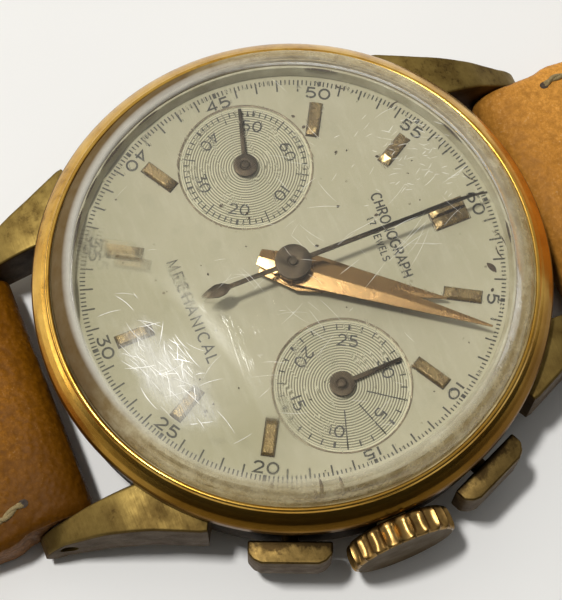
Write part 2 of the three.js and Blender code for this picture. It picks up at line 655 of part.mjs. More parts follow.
const BUCKLE_Z = 2.4;
const KEEPER_FLOOR = 0.9;
const KEEPER_RUN = [42, 70];
function buckleStrap() {
  const sections = [...loopSections,
    strapSection(6, 9.2, 0.08, 4.5), strapSection(20, 8.8, 0.25, 3.9),
    strapSection(34, 8.3, 0.8, 3.85), strapSection(KEEPER_RUN[0], STRAP_END_HALF_WIDTH, 1.05, 3.85),
    strapSection(KEEPER_RUN[1], STRAP_END_HALF_WIDTH, 1.05, 3.85),
    strapSection(BUCKLE_REACH, STRAP_END_HALF_WIDTH, 0.75, 4.05),
    strapSection(BUCKLE_REACH + 1.2, STRAP_END_HALF_WIDTH, 1.1, 3.7),
    strapSection(BUCKLE_REACH + 1.75, STRAP_END_HALF_WIDTH, 1.9, 2.9)];
  const slotHalf = 1.7;
  const slot = plate([[-slotHalf, BUCKLE_REACH - 5], [slotHalf, BUCKLE_REACH - 5],
    [slotHalf, BUCKLE_REACH + 3], [-slotHalf, BUCKLE_REACH + 3]], -1, 6);
  return loft(sections)
    .subtract(barHole(0, BAR_Z, 12))
    .subtract(barHole(BUCKLE_REACH, BUCKLE_Z, 12))
    .subtract(slot);
}

function holeStrap() {
  const sections = [...loopSections,
    strapSection(6, 9.2, 0.05, 4.5), strapSection(20, 8.8, 0.05, 3.6),
    strapSection(40, 8.3, 0.05, 3.1), strapSection(60, 8, 0.05, 2.8),
    strapSection(TIP_REACH - 9, 8, 0.05, 2.6), strapSection(TIP_REACH - 5, 7.2, 0.05, 2.6),
    strapSection(TIP_REACH - 2, 5.2, 0.05, 2.5), strapSection(TIP_REACH, 2.6, 0.05, 2.4)];
  let body = loft(sections).subtract(barHole(0, BAR_Z, 12));
  const holes = 7;
  for (let i = 0; i < holes; i += 1) {
    const reach = 62 + 6.5 * i;
    body = body.subtract(disc(0.85, -1, 6, 8).translate([0, reach, 0]));
  }
  return body;
}

const SIX_TURN = [0, 0, Math.PI];
place('strap_buckle_side', buckleStrap(), LEATHER(), [0, BAR_Y, 0]);
place('strap_hole_side', holeStrap(), LEATHER(), [0, -BAR_Y, 0], SIX_TURN);

// a leather loop round the strap
function keeper(halfInside, height, length) {
  const wall = 0.85;
  const ring = (half, bottom, top) => {
    const corner = 0.5;
    return [[-half + corner, bottom], [half - corner, bottom], [half, bottom + corner],
      [half, top - corner], [half - corner, top], [-half + corner, top], [-half, top - corner],
      [-half, bottom + corner]];
  };
  const geometry = plateGeometry(ring(halfInside + wall, 0, height), 0, length,
    [ring(halfInside, KEEPER_FLOOR, height - wall)]);
  return solid(geometry.rotateX(Math.PI / 2).translate(0, length, 0));
}

place('keeper_fixed', keeper(8.2, 7.4, 5), LEATHER(), [0, BAR_Y + 64, 0]);
place('keeper_free', keeper(8.5, 7.6, 5), LEATHER(), [0, BAR_Y + 54, 0]);

// ---- buckle ----
function buckleFrame() {
  const plan = [[8.7, -1.4], [10.6, -1.4], [11.2, 9.6], [10.2, 11.6], [-10.2, 11.6], [-11.2, 9.6],
    [-10.6, -1.4], [-8.7, -1.4], [-8.9, 8.7], [8.9, 8.7]];
  const side = [[-1.4, 1.9], [-0.9, 1.2], [0, 0.95], [6, 0.3], [10.8, 0.04], [11.6, 0.6], [11.6, 1.7],
    [10.8, 2.25], [6, 2.6], [1.5, 3.75], [0, 3.9], [-0.9, 3.6], [-1.4, 2.9]];
  return plate(plan, 0, 6)
    .intersect(sidePlate(side, -12, 12))
    .subtract(rod(0.82, [-12, 0, BUCKLE_Z], [12, 0, BUCKLE_Z]));
}

function buckleTang() {
  const eye = rod(1.45, [-1.3, 0, BUCKLE_Z], [1.3, 0, BUCKLE_Z]);
  const tongue = sidePlate([[0, 2.9], [0.6, 1.9], [3, 2.1], [8.5, 2.4], [11.9, 2.36], [12.6, 2.7],
    [12.2, 3.1], [8.5, 3.25], [3, 3.4], [0.6, 3.7]], -1, 1);
  return union(eye, tongue).subtract(rod(0.84, [-2, 0, BUCKLE_Z], [2, 0, BUCKLE_Z]));
}

const BUCKLE_ORIGIN = [0, BAR_Y + BUCKLE_REACH, 0];
place('buckle_frame', buckleFrame(), GOLD(), BUCKLE_ORIGIN);
place('buckle_tang', buckleTang(), GOLD(), BUCKLE_ORIGIN);
place('buckle_bar', rod(0.74, [-10.3, 0, BUCKLE_Z], [10.3, 0, BUCKLE_Z]), STEEL(), BUCKLE_ORIGIN);

export default watch;
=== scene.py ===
"""Looks of the gold chronograph wristwatch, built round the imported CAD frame."""
import json
import math
import random

import bmesh
import bpy
from mathutils import Matrix, Vector, noise


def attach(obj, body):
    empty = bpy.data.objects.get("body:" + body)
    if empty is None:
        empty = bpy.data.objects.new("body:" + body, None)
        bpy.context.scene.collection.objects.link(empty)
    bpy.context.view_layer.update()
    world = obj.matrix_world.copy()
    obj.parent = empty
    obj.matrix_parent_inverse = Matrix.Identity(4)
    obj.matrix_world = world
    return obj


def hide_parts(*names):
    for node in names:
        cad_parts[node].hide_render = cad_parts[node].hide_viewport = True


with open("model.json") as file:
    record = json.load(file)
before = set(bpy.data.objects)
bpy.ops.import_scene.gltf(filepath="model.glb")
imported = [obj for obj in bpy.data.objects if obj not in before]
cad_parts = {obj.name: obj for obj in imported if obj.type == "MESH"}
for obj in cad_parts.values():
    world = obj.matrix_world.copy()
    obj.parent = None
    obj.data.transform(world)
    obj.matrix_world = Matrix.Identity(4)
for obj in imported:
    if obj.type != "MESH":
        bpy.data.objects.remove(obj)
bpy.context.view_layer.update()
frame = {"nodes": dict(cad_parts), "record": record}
MM = 0.001
TAU = 2 * math.pi

# ---- mesh tools (all in mm)


def add_object(name, data):
    obj = bpy.data.objects.new(name, data)
    bpy.context.scene.collection.objects.link(obj)
    return obj


def make(name, verts, faces, weld=1e-4):
    """A mesh object from points in millimetres, with its faces turned outward."""
    mesh = bpy.data.meshes.new(name)
    mesh.from_pydata([Vector(v) * MM for v in verts], [], faces)
    obj = add_object(name, mesh)
    bm = bmesh.new()
    bm.from_mesh(mesh)
    bmesh.ops.remove_doubles(bm, verts=bm.verts, dist=weld * MM)
    bmesh.ops.recalc_face_normals(bm, faces=bm.faces)
    bm.to_mesh(mesh)
    bm.free()
    return obj


def smooth(obj, angle=35):
    obj.data.shade_smooth()
    obj.data.set_sharp_from_angle(angle=math.radians(angle))
    return obj


def wear(obj, body, slot, *materials, replaces=()):
    """Gives a piece its materials, its body and the CAD nodes it stands for; slot is not used."""
    if materials:
        obj.data.materials.clear()
        for m in materials:
            obj.data.materials.append(m)
    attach(obj, body)
    if replaces:
        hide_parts(*replaces)
    return obj


def bevel(obj, width, segments=3, angle=30):
    mod = obj.modifiers.new("edge", "BEVEL")
    mod.width = width * MM
    mod.segments = segments
    mod.limit_method = "ANGLE"
    mod.angle_limit = math.radians(angle)
    mod.harden_normals = False
    return obj


def applied(obj):
    """The object with its modifiers made part of its mesh."""
    bpy.context.view_layer.update()
    graph = bpy.context.evaluated_depsgraph_get()
    mesh = bpy.data.meshes.new_from_object(obj.evaluated_get(graph))
    obj.modifiers.clear()
    obj.data = mesh
    return obj


def cut(obj, cutter):
    mod = obj.modifiers.new("cut", "BOOLEAN")
    mod.operation = "DIFFERENCE"
    mod.solver = "EXACT"
    mod.object = cutter
    applied(obj)
    bpy.data.objects.remove(cutter)
    return obj


def fillet(points, radius, steps=4, closed=False):
    """A polyline with each corner rounded to about the radius."""
    out = []
    count = len(points)
    for i, p in enumerate(points):
        p = Vector(p)
        if not closed and i in (0, count - 1):
            out.append(tuple(p))
            continue
        before = Vector(points[i - 1]) - p
        after = Vector(points[(i + 1) % count]) - p
        reach = min(radius, before.length * 0.45, after.length * 0.45)
        a = p + before.normalized() * reach
        b = p + after.normalized() * reach
        for k in range(steps + 1):
            t = k / steps
            out.append(tuple(a * (1 - t) ** 2 + p * 2 * t * (1 - t) + b * t * t))
    return out


def lathe(name, profile, steps=180, centre=(0, 0), closed=None):
    """A turned body about Z from [radius, height] points."""
    if closed is None:
        closed = profile[0][0] > 1e-6
    verts, rings = [], []
    for r, h in profile:
        if r < 1e-6:
            rings.append([len(verts)] * steps)
            verts.append((centre[0], centre[1], h))
            continue
        rings.append(list(range(len(verts), len(verts) + steps)))
        verts += [(x, y, h) for x, y in circle(*centre, r, steps)]
    faces = []
    count = len(rings)
    for i in range(count if closed else count - 1):
        low, high = rings[i], rings[(i + 1) % count]
        for k, m in pairs(steps):
            quad = list(dict.fromkeys((low[k], low[m], high[m], high[k])))
            if len(quad) > 2:
                faces.append(quad)
    return make(name, verts, faces)


def add_rings(verts, faces, rings, ends=True):
    """Adds a skin through rings of equal point counts."""
    base, count = len(verts), len(rings[0])
    for ring in rings:
        verts += ring
    for low in range(base, base + (len(rings) - 1) * count, count):
        faces += [(low + k, low + m, low + count + m, low + count + k) for k, m in pairs(count)]
    if ends:
        faces += [tuple(range(first, first + count)) for first in (base, base + (len(rings) - 1) * count)]


def loft(name, rings, ends=True):
    """A closed skin through rings of equal point counts."""
    verts, faces = [], []
    add_rings(verts, faces, rings, ends)
    return make(name, verts, faces)


def prism(name, outline, low, high):
    count = len(outline)
    verts = [(x, y, low) for x, y in outline] + [(x, y, high) for x, y in outline]
    faces = [tuple(range(count)), tuple(range(count, 2 * count))]
    for k, m in pairs(count):
        faces.append((k, m, m + count, k + count))
    return make(name, verts, faces)


def turned(obj, angle, axis):
    obj.data.transform(Matrix.Rotation(angle, 4, axis))
    return obj


def moved(obj, *offset):
    obj.data.transform(Matrix.Translation(Vector(offset) * MM))
    return obj


def pairs(count):
    """Each index with the next one round a closed ring."""
    return [(k, (k + 1) % count) for k in range(count)]


def box_outline(low_x, low_y, high_x, high_y):
    return [(low_x, low_y), (high_x, low_y), (high_x, high_y), (low_x, high_y)]


def circle(x, y, r, steps):
    return [(x + r * math.cos(TAU * k / steps), y + r * math.sin(TAU * k / steps)) for k in range(steps)]


def section(low_x, low_y, high_x, high_y, radius, steps=4):
    """A rectangle with rounded corners."""
    return fillet(box_outline(low_x, low_y, high_x, high_y), radius, steps, closed=True)


def axle(name, profile, soft, steps, sides, *place, closed=None):
    """A turned body that lies along X, moved to a place."""
    profile = fillet(profile, soft, steps, closed=bool(closed))
    return moved(turned(lathe(name, profile, sides, closed=closed), math.pi / 2, "Y"), *place)


def rod(name, start, end, radius, sides=32):
    start, end = Vector(start), Vector(end)
    turn = (end - start).to_track_quat("Z", "Y")
    around = [turn @ Vector((x, y, 0)) for x, y in circle(0, 0, radius, sides)]
    return loft(name, [[tuple(p + v) for v in around] for p in (start, end)])


def joined(name, objs):
    """One object from several, under the given name."""
    bm = bmesh.new()
    for o in objs:
        if o.modifiers:
            applied(o)
        bm.from_mesh(o.data)
    mesh = bpy.data.meshes.new(name)
    bm.to_mesh(mesh)
    bm.free()
    for o in objs:
        bpy.data.objects.remove(o)
    return add_object(name, mesh)


def blend_points(points, t):
    """Straight-line interpolation of (position, value...) rows at t."""
    for a, b in zip(points, points[1:]):
        if t <= b[0]:
            f = (t - a[0]) / (b[0] - a[0])
            f = max(0.0, min(1.0, f))
            return [x + (y - x) * f for x, y in zip(a[1:], b[1:])]
    return list(points[-1][1:])


def curve_points(points, t):
    """Smooth (Catmull-Rom) interpolation of (position, value...) rows at t."""
    last = len(points) - 1
    for i in range(last):
        a, b = points[i], points[i + 1]
        if t <= b[0] or i == last - 1:
            before, after = points[max(i - 1, 0)], points[min(i + 2, last)]
            f = max(0.0, min(1.0, (t - a[0]) / (b[0] - a[0])))
            out = []
            for p, q, r, s, u, v in zip(before[1:], a[1:], b[1:], after[1:], a[1:], b[1:]):
                span = b[0] - a[0]
                ma = (r - p) / (b[0] - before[0]) * span
                mb = (s - q) / (after[0] - a[0]) * span
                f2, f3 = f * f, f * f * f
                out.append((2 * f3 - 3 * f2 + 1) * q + (f3 - 2 * f2 + f) * ma
                           + (-2 * f3 + 3 * f2) * r + (f3 - f2) * mb)
            return out
    return list(points[-1][1:])


# ---- material tools


def feed(tree, socket, value):
    """Sets a socket to a plain value, or links a wire to it."""
    if isinstance(value, Wire):
        tree.links.new(value.socket, socket)
    elif isinstance(value, tuple) and socket.type == "RGBA":
        socket.default_value = (*value, 1)
    else:
        socket.default_value = value


def add_node(tree, kind, inputs, out=0, **settings):
    """One output of a new shader node."""
    made = tree.nodes.new(kind)
    for key, value in settings.items():
        setattr(made, key, value)
    for key, value in inputs.items():
        feed(tree, made.inputs[key], value)
    return Wire(tree, made.outputs[out])


class Wire:
    """An output of a shader node, open to plain arithmetic."""

    def __init__(self, tree, socket):
        self.tree, self.socket = tree, socket

    def math(self, operation, other=0.0, clamp=False):
        return add_node(self.tree, "ShaderNodeMath", {0: self, 1: other}, operation=operation,
                        use_clamp=clamp)

    def __add__(self, other):
        return self.math("ADD", other)

    def __sub__(self, other):
        return self.math("SUBTRACT", other)

    def __mul__(self, other):
        return self.math("MULTIPLY", other)

    def most(self, other):
        return self.math("MAXIMUM", other)

    def ramp(self, *stops):
        """A colour or grey ramp: stops are (position, colour or grey)."""
        out = add_node(self.tree, "ShaderNodeValToRGB", {"Fac": self}, "Color")
        ramp = out.socket.node.color_ramp
        while len(ramp.elements) < len(stops):
            ramp.elements.new(0.5)
        for element, (position, colour) in zip(ramp.elements, stops):
            element.position = position
            element.color = (*colour, 1) if isinstance(colour, tuple) else (colour, colour, colour, 1)
        return out

    def rise(self, low, high, top=1.0):
        return self.ramp((low, 0.0), (high, top))

    def fall(self, low, high, top=1.0):
        return self.ramp((low, top), (high, 0.0))


class Paint:
    """One procedural Principled material."""

    def __init__(self, name, **values):
        self.material = bpy.data.materials.new(name)
        self.material.use_nodes = True
        self.tree = self.material.node_tree
        self.bsdf = self.tree.nodes["Principled BSDF"]
        self.place = self.node("ShaderNodeTexCoord", {}, "Object")
        self.set(**values)

    def set(self, **values):
        """Feeds the shader: base_color is its Base Color, and so on."""
        for key, value in values.items():
            feed(self.tree, self.bsdf.inputs[key.replace("_", " ").title().replace("Ior", "IOR")], value)

    def node(self, kind, inputs, out=0, **settings):
        return add_node(self.tree, kind, inputs, out, **settings)

    def at(self, stretch=(1, 1, 1), turn=(0, 0, 0)):
        """The place in millimetres, stretched and turned."""
        return self.node("ShaderNodeMapping", {"Vector": self.place, "Scale": [f / MM for f in stretch],
                                               "Rotation": turn}, "Vector")

    def axis(self, index):
        """The place along X, Y or Z, in mm."""
        return self.node("ShaderNodeSeparateXYZ", {0: self.at()}, index)

    def noise(self, size, detail=4.0, rough=0.55, *stretched):
        """Noise from 0 to 1, with features about size mm across."""
        return self.node("ShaderNodeTexNoise", {"Vector": self.at(*stretched), "Scale": 1 / size,
                                                "Detail": detail,
                                                "Roughness": rough}, "Fac")

    def cells(self, size, feature="F1", *stretched):
        return self.node("ShaderNodeTexVoronoi", {"Vector": self.at(*stretched), "Scale": 1 / size},
                         "Distance",
                         feature=feature)

    def mix(self, factor, a, b):
        """A blended colour."""
        return self.node("ShaderNodeMix", {0: factor, 6: a, 7: b}, 2, data_type="RGBA")

    def bump(self, height, strength, depth):
        return self.node("ShaderNodeBump", {"Height": height, "Strength": strength, "Distance": depth * MM},
                         "Normal")

    def radius(self, centre=(0.0, 0.0)):
        """The distance from a vertical axis, in mm."""
        apart = self.node("ShaderNodeVectorMath", {0: self.at(), 1: (-centre[0], -centre[1], 0)},
                          operation="ADD")
        flat = self.node("ShaderNodeVectorMath", {0: apart, 1: (1, 1, 0)}, operation="MULTIPLY")
        return self.node("ShaderNodeVectorMath", {0: flat}, "Value", operation="LENGTH")


def metal(name, bright, dull, rough, spot=0.0, spot_and_shade_colour=(0.1, 0.05, 0.02), grain=2.5, scratch=0.3,
          dark_at=None, shine=1.0):
    """Worn metal: two tones, dark spots, hairlines and uneven polish; shine is how metallic it is; dark_at is
    a further mask for the spot colour, which paints shade on the bezel and case and corrosion on the pushers.
    """
    p = Paint(name, metallic=shine)
    if shine < 1:
        p.set(specular_ior_level=0.12)
    patches, fine = p.noise(grain, 5, 0.6), p.noise(grain * 0.18, 4, 0.7)
    tone = p.mix(patches.rise(0.3, 0.72), bright, dull)
    if spot:
        mask = fine.rise(0.52, 0.68) * patches.rise(0.4, 0.6) * spot
        if dark_at:
            mask = mask.most(dark_at(p))
        tone = p.mix(mask, tone, spot_and_shade_colour)
    hair = p.noise(1.0, 3, 0.8, (0.35, 9.0, 9.0), (0.3, 0.5, 0.9))
    p.set(base_color=tone, normal=p.bump(fine * 0.5 + hair * 0.5, scratch, 0.03),
          roughness=(patches * 0.6 + hair * 0.4).ramp((0.25, rough * 0.75), (0.75, rough * 1.5)))
    return p.material


def stained(name, grain, tones, rough, bump=None, metallic=0.0, rough_grain=None):
    """A stained surface: rough is one value or a ramp's stops, bump is (noise, strength)."""
    p = Paint(name, metallic=metallic)
    stain = p.noise(*grain)
    if isinstance(rough, tuple):
        rough = (p.noise(*rough_grain) if rough_grain else stain).ramp(*rough)
    p.set(base_color=stain.ramp(*tones), roughness=rough)
    if bump:
        p.set(normal=p.bump(p.noise(*bump[0]), bump[1], 0.03))
    return p.material


# ---- materials

GOLD = (0.80, 0.50, 0.11)


def bezel_shade_by_crown(p):
    """The bezel's outer slope by the crown, darkened as painted shade."""
    return (p.axis(0) * 0.05).rise(0.15, 0.62) * (p.radius() - 17.3).ramp((0.1, 0.35), (0.65, 1.0)) * 0.93


# The case darker towards the crown side, as painted shade.
def case_shade_by_crown(p):
    return (p.axis(0) * 0.05).rise(0.35, 0.62, 0.42)


def near_case_wall(p):
    """Corrosion on the pushers where they meet the case."""
    return ((p.radius() + p.noise(1.1, 5, 0.7) * -3.0) * 0.05).fall(0.875, 0.9) * 0.9


bezel_gold = metal("bezel_gold", GOLD, (0.50, 0.25, 0.03), 0.2, 0.5, (0.13, 0.058, 0.004), 3.0, 0.12,
                   dark_at=bezel_shade_by_crown)
crown_gold = metal("crown_gold", (0.36, 0.22, 0.07), (0.15, 0.09, 0.03), 0.28, 0.4, grain=1.2, scratch=0.15)
# A darker copy of the crown gold for its flat end face: painted shade.
shaded_crown_face_gold = metal("shaded_crown_face_gold", (0.1, 0.062, 0.018), (0.06, 0.036, 0.01), 0.5, 0.3, grain=1.5,
                        scratch=0.4, shine=0.25)
buckle_gold = metal("buckle_gold", GOLD, (0.75, 0.45, 0.14), 0.2, 0.15, grain=4.0, scratch=0.1)
# A darker copy of the bezel gold for its outer wall: painted shade.
shaded_bezel_wall_gold = metal("shaded_bezel_wall_gold", (0.2, 0.1, 0.012), (0.11, 0.05, 0.005), 0.3, 0.5, grain=3.0, scratch=0.12)
shade_gold = metal("shade_gold", (0.03, 0.017, 0.004), (0.014, 0.009, 0.003), 0.6, 0.6, grain=2.0, shine=0.1)
case_gold = metal("case_gold", (0.29, 0.205, 0.06), (0.12, 0.075, 0.02), 0.5, 0.8, (0.06, 0.035, 0.012), 2.2,
                  0.6, dark_at=case_shade_by_crown)
# A darker copy of the case gold for the lugs' upright sides: painted shade.
shaded_lug_wall_gold = metal("shaded_lug_wall_gold", (0.09, 0.052, 0.014), (0.045, 0.024, 0.006), 0.5, 0.6, grain=1.6,
                      scratch=0.5, shine=0.25)
pusher_gold = metal("pusher_gold", (0.16, 0.105, 0.034), (0.075, 0.048, 0.015), 0.38, 0.6,
                    (0.022, 0.013, 0.005), 1.0, 0.5, dark_at=near_case_wall)
# A darker copy of the pusher gold for their upright sides: painted shade.
shaded_pusher_wall_gold = metal("shaded_pusher_wall_gold", (0.11, 0.065, 0.02), (0.05, 0.028, 0.009), 0.5, 0.4, grain=1.0,
                         scratch=0.4, shine=0.2)
steel = metal("steel", (0.62, 0.61, 0.58), (0.45, 0.44, 0.42), 0.28, grain=1.5, scratch=0.12)
brass = metal("brass", (0.78, 0.62, 0.3), (0.6, 0.45, 0.2), 0.32, grain=2.0, scratch=0.15)
hand_rose = metal("hand_rose", (0.36, 0.225, 0.1), (0.27, 0.16, 0.07), 0.22, 0.8, (0.13, 0.07, 0.04), 1.6,
                  0.15)
index_rose = metal("index_rose", (0.34, 0.25, 0.12), (0.13, 0.09, 0.05), 0.24, 0.9, (0.07, 0.045, 0.03), 0.9,
                   0.5)
dark_steel = metal("dark_steel", (0.035, 0.028, 0.02), (0.06, 0.045, 0.03), 0.36, 0.5, (0.14, 0.1, 0.06), 0.6,
                   0.5)

ink = stained("dial_ink", (0.35, 4, 0.7), ((0.45, (0.014, 0.012, 0.009)), (0.8, (0.05, 0.042, 0.026))),
              ((0.3, 0.35), (0.8, 0.7)))
# Dark dirt for the specks and stains, also used to paint the shadow round the indexes and the shade in the
# stitch holes.
grime_and_shade = stained("grime_and_shade", (0.3,), ((0.3, (0.015, 0.01, 0.007)), (0.7, (0.08, 0.05, 0.03))), 0.8,
                ((0.15,), 0.6))
# The brown ring round each register: partly print, partly a painted shadow of the register's step.
rim_brown = stained("register_rim_brown", (1.2,), ((0.3, (0.07, 0.05, 0.03)), (0.7, (0.19, 0.15, 0.09))), 0.5,
                    metallic=0.3)
thread = stained("linen_thread", (0.12, 3, 0.8), ((0.3, (0.13, 0.095, 0.035)), (0.7, (0.36, 0.27, 0.12))),
                 0.75,
                 ((0.12, 3, 0.8), 0.5))
scuff = stained("scuff", (0.5,), ((0.3, (0.95, 0.94, 0.88)), (0.7, (0.7, 0.69, 0.62))),
                ((0.3, 0.25), (0.7, 0.5)),
                rough_grain=(0.8,))
# the dusty, silvered metal under the edge of the crystal
pale_seat = stained("pale_seat", (1.6, 6, 0.65, (1.0, 1.0, 2.5)),
                    ((0.3, (0.52, 0.44, 0.26)), (0.52, (0.38, 0.29, 0.13)), (0.72, (0.2, 0.12, 0.04))),
                    ((0.3, 0.45), (0.8, 0.7)))
pale_ring = stained("pale_ring", (2.0, 5, 0.6), ((0.35, (0.60, 0.57, 0.44)), (0.75, (0.36, 0.31, 0.19))),
                    ((0.3, 0.3), (0.8, 0.5)))


def striped_nickel():
    """Movement bridges with broad finishing stripes."""
    p = Paint("striped_nickel", metallic=1.0)
    stripes = p.node("ShaderNodeTexWave", {"Vector": p.place, "Scale": 90.0, "Distortion": 0.6,
                                           "Detail": 2.0},
                     "Fac", wave_type="BANDS", bands_direction="DIAGONAL")
    p.set(base_color=stripes.ramp((0.0, (0.5, 0.49, 0.46)), (1.0, (0.68, 0.67, 0.63))),
          roughness=stripes.ramp((0.0, 0.2), (1.0, 0.38)), normal=p.bump(p.noise(0.3), 0.15, 0.02))
    return p.material


def dial_paint(name, ring_centre=None):
    """Aged silvering: a fine grain, stains and dark specks, with turned rings where asked."""
    p = Paint(name, metallic=0.0, specular_ior_level=0.15)
    grain, cloud, stain = p.noise(0.12, 3, 0.7), p.noise(5.5, 5, 0.6), p.noise(2.2, 6, 0.65)
    wipe = p.noise(1.0, 5, 0.7, (0.35, 1.6, 1.0), (0, 0, 0.6))
    base = p.mix(cloud.rise(0.35, 0.7), (0.54, 0.50, 0.37), (0.49, 0.455, 0.32))
    base = p.mix(stain.rise(0.55, 0.8) * 0.45, base, (0.36, 0.335, 0.235))
    base = p.mix(grain.rise(0.35, 0.75) * 0.3, base, (0.40, 0.385, 0.29))
    base = p.mix(wipe.rise(0.5, 0.75) * 0.3, base, (0.7, 0.68, 0.56))
    base = p.mix(p.cells(1.3).fall(0.055, 0.1) * stain.rise(0.5, 0.56) * 0.8, base, (0.09, 0.065, 0.035))
    if ring_centre:
        r = p.radius(ring_centre)
        wave = (r * (TAU / RING_PITCH)).math("SINE") * 0.5 + 0.5
        zone = r.math("GREATER_THAN", FIRST_RING) * r.math("LESS_THAN", LAST_RING)
        base = p.mix(0.6, base, (0.8, 0.76, 0.58))
        base = p.mix(wave.rise(0.3, 0.7) * zone * 0.85, base, (0.13, 0.115, 0.07))
    p.set(base_color=base, roughness=cloud.ramp((0.3, 0.42), (0.7, 0.55)),
          normal=p.bump(grain + stain * 0.6, 0.25, 0.02))
    return p.material


def acrylic_paint():
    """Clear old acrylic that lamps shine through, with hairlines, a scuffed patch and a dirty rim, the rim
    painted darker on one side as shade.
    """
    p = Paint("acrylic", transmission_weight=1.0, ior=1.49)
    lines = [p.cells(size, "DISTANCE_TO_EDGE", (0.12, 1.1, 0.4), (0, 0, turn)).fall(0.0, 0.012)
             for turn, size in ((0.4, 1.6), (1.5, 2.1), (2.4, 1.3))]
    faint = lines[0].most(lines[1]).most(lines[2]) * p.noise(1.4, 3).rise(0.5, 0.62)
    x, y = p.axis(0), p.axis(1)
    dx, dy = x - SCUFF_AT[0], y - SCUFF_AT[1]
    long_way = (dx * 0.947 + dy * 0.32) * (1 / 4.8)
    short_way = (dx * -0.32 + dy * 0.947) * (1 / 2.0)
    apart = (long_way * long_way + short_way * short_way).math("SQRT")
    matt = (apart * 0.33).fall(0.62, 0.98)
    patch = (apart + (p.noise(1.5, 4, 0.6) - 0.5) * 1.1).fall(0.35, 1.0)
    streaks = p.noise(1.0, 4, 0.75, (0.45, 4.5, 1.0), (0, 0, -0.33)).rise(0.5, 0.68).most(
        p.noise(1.0, 4, 0.75, (0.6, 5.5, 1.0), (0, 0, 0.35)).rise(0.54, 0.7))
    smear = patch * (streaks * 0.6 + 0.34)
    waves = faint + p.noise(2.5, 2) * 0.8 + streaks * patch * 1.5
    p.set(base_color=p.noise(6.0).ramp((0.3, (0.985, 0.985, 0.96)), (0.7, (0.95, 0.95, 0.9))),
          roughness=matt * 0.22 + 0.03, normal=p.bump(waves, 0.14, 0.02))

    rim, crust = (p.radius() * (1 / 17)).rise(0.9, 0.945), p.noise(1.3, 6, 0.7)
    # Painted shade: the rim darker towards -X and -Y.
    shaded_side = ((x * 0.6 + y * 0.8) * (-1 / 16)).rise(0.3, 0.7)
    dust_and_shade = (rim * crust.ramp((0.3, 0.62), (0.7, 0.25))).math("ADD", shaded_side * rim * 0.85, clamp=True)
    crumbs_and_shade = crust.ramp((0.35, (0.66, 0.58, 0.37)), (0.6, (0.4, 0.3, 0.14)), (0.72, (0.16, 0.09, 0.03)))
    crumbs_and_shade = p.mix(shaded_side * 0.9, crumbs_and_shade, (0.1, 0.06, 0.025))
    rub_and_shade = p.node("ShaderNodeBsdfDiffuse", {"Color": p.mix(rim, (0.86, 0.85, 0.78), crumbs_and_shade)})
    clear = p.node("ShaderNodeBsdfTransparent", {"Color": (0.95, 0.95, 0.92)})
    shown = Wire(p.tree, p.bsdf.outputs[0])
    is_lamp = p.node("ShaderNodeLightPath", {}, "Is Shadow Ray")
    for share, shader in ((matt * 0.94, clear), (smear.most(dust_and_shade), rub_and_shade), (is_lamp, clear)):
        shown = p.node("ShaderNodeMixShader", {0: share, 1: shown, 2: shader})
    feed(p.tree, p.tree.nodes["Material Output"].inputs["Surface"], shown)
    return p.material


def leather_paint(name, light, dark, pebble, highlight_specks, polish=0.42, shaded=0.0):
    """Vegetable-tanned calf: a pebbled grain, cloudy colour and darker pits, with pale specks painted as
    highlights, painted shade near the case and, when shaded is set, painted shade towards +X.
    """
    p = Paint(name, metallic=0.0, specular_ior_level=0.1)
    cloud, mottle, fine = p.noise(9.0, 5, 0.6), p.noise(1.6, 5, 0.65), p.noise(0.22, 4, 0.8)
    grain = p.cells(pebble, "SMOOTH_F1")
    # Painted shade where the strap turns down by the case.
    shade_near_case = (p.axis(1).math("ABSOLUTE") * (1 / 30)).fall(0.64, 0.82, 0.55)
    tone = p.mix(cloud.rise(0.3, 0.7), dark, light)
    tone = p.mix(mottle.rise(0.45, 0.75) * 0.35, tone, tuple(min(1.0, c * 1.35) for c in light))
    pits = tuple(c * 0.5 for c in dark)
    tone = p.mix(grain.rise(0.35, 0.7) * 0.5, tone, pits)
    # Pale specks painted as highlights on the grain.
    tone = p.mix(fine.rise(0.58, 0.66) * mottle.rise(0.42, 0.58) * highlight_specks, tone, (0.85, 0.55, 0.28))
    tone = p.mix(fine.fall(0.42, 0.56) * 0.42, tone, pits)
    tone = p.mix(shade_near_case, tone, tuple(c * 0.45 for c in dark))
    if shaded:
        tone = p.mix((p.axis(0) * 0.05 + 0.5).rise(0.45, 0.98, shaded), tone, tuple(c * 0.35 for c in dark))
    p.set(base_color=tone, roughness=mottle.ramp((0.3, polish), (0.75, polish + 0.2)),
          normal=p.bump(grain * -0.75 + fine * 0.25 + 0.75, 0.8, 0.16))
    return p.material


REGISTER_X, RING_PITCH, FIRST_RING, LAST_RING = 8.82, 0.19, 0.9, 4.6
REGISTERS = (("9", -REGISTER_X), ("3", REGISTER_X))
SCUFF_AT = (4.5, -11.1)
nickel, acrylic, dial_silver = striped_nickel(), acrylic_paint(), dial_paint("dial_silver")
register_silver = {side: dial_paint(f"register_silver_{side}", (x, 0.0)) for side, x in REGISTERS}
tan_leather = leather_paint("tan_leather", (0.74, 0.335, 0.06), (0.6, 0.25, 0.035), 0.45, 0.6)
# The long half's leather: a darker copy of the tan leather, with painted shade towards +X.
dark_tan_leather = leather_paint("dark_tan_leather", (0.38, 0.145, 0.004), (0.23, 0.08, 0.002), 0.45, 0.25,
                                 shaded=0.92)
edge_leather = leather_paint("edge_leather", (0.26, 0.115, 0.035), (0.15, 0.065, 0.02), 0.4, 0.1)
lining_leather = leather_paint("lining_leather", (0.55, 0.36, 0.19), (0.45, 0.27, 0.13), 0.35, 0.2, 0.55)

